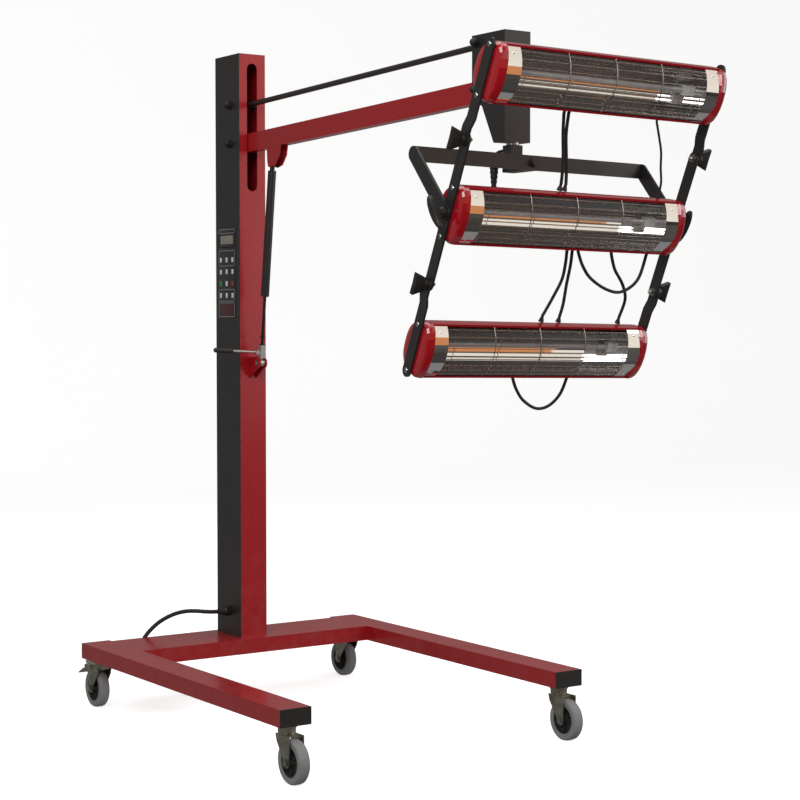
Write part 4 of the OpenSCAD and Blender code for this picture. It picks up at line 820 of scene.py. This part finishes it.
RINGS = 5
BOOT_STEPS = 36
tip_r = LEAD_D * 0.7
boot_profile = [(0, 0), (0, BOOT_D / 2)]
for k in range(RINGS):
    place = BOOT_L * (k + 0.5) / RINGS
    reach = BOOT_D / 2 - (BOOT_D / 2 - tip_r) * place / BOOT_L
    boot_profile += [(place - 2.4, reach + 0.6), (place + 1.2, reach + 0.3), (place + 1.8, reach - 0.8),
                     (place + 3.2, reach - 0.9)]
boot_profile += [(BOOT_L, tip_r), (BOOT_L, 0)]
downward = AT_YOKE @ shift(LUG_X, LUG_Y, lug_z) @ Matrix.Rotation(pi / 2, 4, "Y")
boot = moved(turned(boot_profile, BOOT_STEPS), downward)
top_z = lug_z + LUG_T + 4 * LEAD_D
out_x = -BLOCK_W / 4
elbow_route = smooth([in_yoke(*p) for p in (
    (out_x, BLOCK_W / 2 + SEAT_GAP, top_z), (out_x, BLOCK_W / 2 + LEAD_D, top_z),
    (out_x - LEAD_D * 0.9, LUG_Y - LEAD_D * 0.3, top_z - LEAD_D * 0.4),
    (LUG_X + LEAD_D / 2, LUG_Y + LEAD_D * 0.3, top_z - LEAD_D * 1.6), (LUG_X, LUG_Y, top_z - LEAD_D * 3),
    (LUG_X, LUG_Y, lug_z + 0.4))], LEAD_STEPS)
boot = joined([boot, tube_along("elbow", elbow_route, LEAD_D * MM)])
dress(boot, "supply_boot", black_plastic, "yoke", ["supply_lead"])
print("boot with", RINGS, "rings")

# %% [markdown]
# The keypad is one printed sheet on the black cover. Thin grey outlines part it into fields, the keys are
# small pale pads, one green and one red, and the window above shows a blank grey display.

# %% Keypad
PAD_Y = 69
PAD_Z = 1155.5
PAD_W = 94
PAD_H = 243
FACE_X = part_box("side_cover")[0].x / MM
KEY_SIZE = (1.0, 10, 13)
KEY_STEP = 32
KEY_RISE = 0.8
KEY_EDGE = 0.4
ROW_UP = 3
LINE_W = 2
LINE_T = 0.3
THIN_EDGE = 0.1
SHEET_T = 1
FIELD_HALF = 43


def flat_finish(name, colour, roughness):
    f = Finish(name, {"Coat Weight": 0.3, "Coat Roughness": 0.2})
    cloud = f.noise(120, 3)
    return f.wear(Base_Color=f.mix(cloud, shade_of(colour, 0.9), shade_of(colour, 1.08)),
                  Roughness=cloud * 0.1 + roughness, Normal=f.bump(f.noise(500, 2), 0.1, 0.0002))


sheet_black = flat_finish("sheet_black", tone(38, 37, 37), 0.35)
line_grey = flat_finish("line_grey", tone(146, 144, 140), 0.4)
key_pale = flat_finish("key_pale", tone(236, 236, 234), 0.35)
key_green = flat_finish("key_green", tone(46, 170, 60), 0.35)
key_red = flat_finish("key_red", tone(186, 30, 36), 0.35)
field_red = flat_finish("field_red", tone(78, 30, 28), 0.4)
display_grey = flat_finish("display_grey", tone(148, 144, 132), 0.15)


def on_cover(size, y, z, rise, edge):
    """A thin block standing out from the cover, with y and z counted as the column's."""
    part = block(size, (FACE_X - rise - size[0] / 2, 0, 0), edge)
    return moved(part, Matrix.Translation(at_column(0, y, z)))


def outline(low, high):
    """Four lines round a field as wide as the pad."""
    wide = (LINE_T, 2 * FIELD_HALF + LINE_W, LINE_W)
    tall = (LINE_T, LINE_W, high - low + LINE_W)
    spots = [(wide, PAD_Y, low), (wide, PAD_Y, high)]
    spots += [(tall, PAD_Y + s * FIELD_HALF, (low + high) / 2) for s in (-1, 1)]
    return [on_cover(*spot, SHEET_T, THIN_EDGE) for spot in spots]


WINDOW_W = 70
WINDOW_H = 25
WINDOW_Z = PAD_Z + PAD_H * 0.366
SHEET_EDGE = 0.2
FIELDS = [(WINDOW_Z - 20, WINDOW_Z + 28), (WINDOW_Z - 20, WINDOW_Z + 18), (PAD_Z + 19, PAD_Z + 60),
          (PAD_Z - 76, PAD_Z - 45), (PAD_Z - 118, PAD_Z - 81)]
LABEL_SIZE = (0.3, 76, 30)
LABEL_Z = PAD_Z - 99
DISPLAY_SIZE = (0.6, 68, 23)
DISPLAY_RISE = 0.4
edge_y = (PAD_W - WINDOW_W) / 2
below = WINDOW_Z - WINDOW_H / 2 - (PAD_Z - PAD_H / 2)
above = PAD_Z + PAD_H / 2 - WINDOW_Z - WINDOW_H / 2
sheet = [on_cover((SHEET_T, PAD_W, below), PAD_Y, PAD_Z - PAD_H / 2 + below / 2, 0, SHEET_EDGE),
         on_cover((SHEET_T, PAD_W, above), PAD_Y, PAD_Z + PAD_H / 2 - above / 2, 0, SHEET_EDGE)]
for s in (-1, 1):
    side_y = PAD_Y + s * (WINDOW_W + edge_y) / 2
    sheet.append(on_cover((SHEET_T, edge_y, WINDOW_H + 1), side_y, WINDOW_Z, 0, SHEET_EDGE))
dress(joined(sheet), "keypad_sheet", sheet_black, "root", ["keypad"])
lines = []
for low, high in FIELDS:
    lines += outline(low, high)
dress(joined(lines), "keypad_lines", line_grey, "root")
keys = {"pale": [], "green": [], "red": []}
for row in range(4):
    for col in (-1, 0, 1):
        kind = {(2, 1): "green", (2, -1): "red"}.get((row, col), "pale")
        spot_z = PAD_Z + (1 - row) * KEY_STEP + ROW_UP
        keys[kind].append(on_cover(KEY_SIZE, PAD_Y + col * KEY_STEP, spot_z, KEY_RISE, KEY_EDGE))
for kind, finish in (("pale", key_pale), ("green", key_green), ("red", key_red)):
    dress(joined(keys[kind]), "keys_" + kind, finish, "root")
field = on_cover(LABEL_SIZE, PAD_Y, LABEL_Z, SHEET_T, THIN_EDGE)
dress(field, "label_field", field_red, "root")
display = on_cover(DISPLAY_SIZE, PAD_Y, WINDOW_Z, DISPLAY_RISE, THIN_EDGE)
dress(display, "display_face", display_grey, "root")
print("twelve keys in four rows")

# %% [markdown]
# The stage is a pale floor that curves up into a backdrop, so the picture has no horizon. Soft lights stand
# left, right and above. Mirrors show what stands before them, so four cards that only shiny finishes see
# give the lamps a workshop's dark floor, bright wall, brown door and window.

# %% Stage and light
def paper_finish():
    f = Finish("paper", {"Roughness": 0.9, "Emission Color": (1, 1, 1, 1), "Emission Strength": 0.72})
    return f.wear(Base_Color=f.mix(f.noise(1.5, 2), tone(246, 246, 246), tone(250, 250, 250)))


FLOOR_SIDE = 44
FLOOR_BACK = 9
WALL_H = 16
BEND_R = 3
BEND_SEGMENTS = 12
bpy.ops.object.select_all(action="DESELECT")
bpy.ops.mesh.primitive_plane_add(size=FLOOR_SIDE, location=(0, FLOOR_BACK - FLOOR_SIDE / 2, 0))
floor = bpy.context.object
floor.name = "floor"
bpy.ops.object.mode_set(mode="EDIT")
bpy.ops.mesh.select_all(action="DESELECT")
bpy.ops.object.mode_set(mode="OBJECT")
for edge in floor.data.edges:
    edge.select = all(floor.data.vertices[v].co.y > 0 for v in edge.vertices)
bpy.ops.object.mode_set(mode="EDIT")
bpy.ops.mesh.select_mode(type="EDGE")
bpy.ops.mesh.extrude_region_move(TRANSFORM_OT_translate={"value": (0, 0, WALL_H)})
bpy.ops.object.mode_set(mode="OBJECT")
bend = floor.modifiers.new("bend", "BEVEL")
bend.width = BEND_R
bend.segments = BEND_SEGMENTS
bpy.ops.object.modifier_apply(modifier="bend")
bpy.ops.object.shade_smooth()
floor.data.materials.append(paper_finish())
floor.visible_glossy = False
floor.visible_diffuse = False


def soft_light(name, place, aim, size, watts):
    data = bpy.data.lights.new(name, "AREA")
    data.shape = "RECTANGLE"
    data.size, data.size_y = size
    data.energy = watts
    lamp = bpy.data.objects.new(name, data)
    lamp.location = place
    lamp.rotation_euler = (Vector(aim) - Vector(place)).to_track_quat("-Z", "Y").to_euler()
    bpy.context.scene.collection.objects.link(lamp)


soft_light("key", (-3.2, -3.0, 3.2), (0, 0, 0.9), (2.2, 2.2), 95)
soft_light("fill", (3.4, -2.2, 2.0), (0, 0, 0.9), (2.0, 2.4), 34)
soft_light("above", (0.2, 0.2, 4.2), (0, 0, 0), (3.0, 3.0), 45)


def mirror_card(name, colour, glow, size, place, turn):
    """A flat card that only shiny finishes see, as a studio sets cards before a mirror."""
    f = Finish(name, {"Emission Color": colour, "Emission Strength": glow})
    bpy.ops.object.select_all(action="DESELECT")
    bpy.ops.mesh.primitive_plane_add(size=1)
    card = bpy.context.object
    card.name = name
    spot = Matrix.Translation(place) @ Euler([radians(a) for a in turn]).to_matrix().to_4x4()
    card.data.transform(spot @ Matrix.Diagonal((*size, 1, 1)))
    card.data.materials.append(f.wear(Base_Color=f.mix(f.noise(2, 2), shade_of(colour, 0.9), colour)))
    for kind in ("camera", "diffuse", "shadow", "transmission"):
        setattr(card, "visible_" + kind, False)


FACING = (90, 0, 40)
mirror_card("dark_floor", tone(22, 18, 16), 0.05, (13, 7.4), (3, -4.6, 0.02), (0, 0, 0))
mirror_card("bright_wall", tone(220, 212, 200), 0.95, (8, 6.4), (3.4, -5.6, 3.6), FACING)
mirror_card("brown_door", tone(190, 126, 80), 0.75, (2.2, 1.0), (0.55, -3.06, 1.05), FACING)
mirror_card("window", tone(222, 226, 250), 1.4, (0.9, 0.9), (2.35, -2.5, 1.15), FACING)
ROOM_COLOUR = (1.0, 0.99, 0.975, 1)
ROOM_LIGHT = 0.22
world = bpy.data.worlds.new("room")
bpy.context.scene.world = world
world.use_nodes = True
room = world.node_tree.nodes["Background"].inputs
room["Color"].default_value = ROOM_COLOUR
room["Strength"].default_value = ROOM_LIGHT
bpy.context.scene.view_settings.view_transform = "Standard"
print("three soft lights and a backdrop")

# %% Update the scene
bpy.context.view_layer.update()
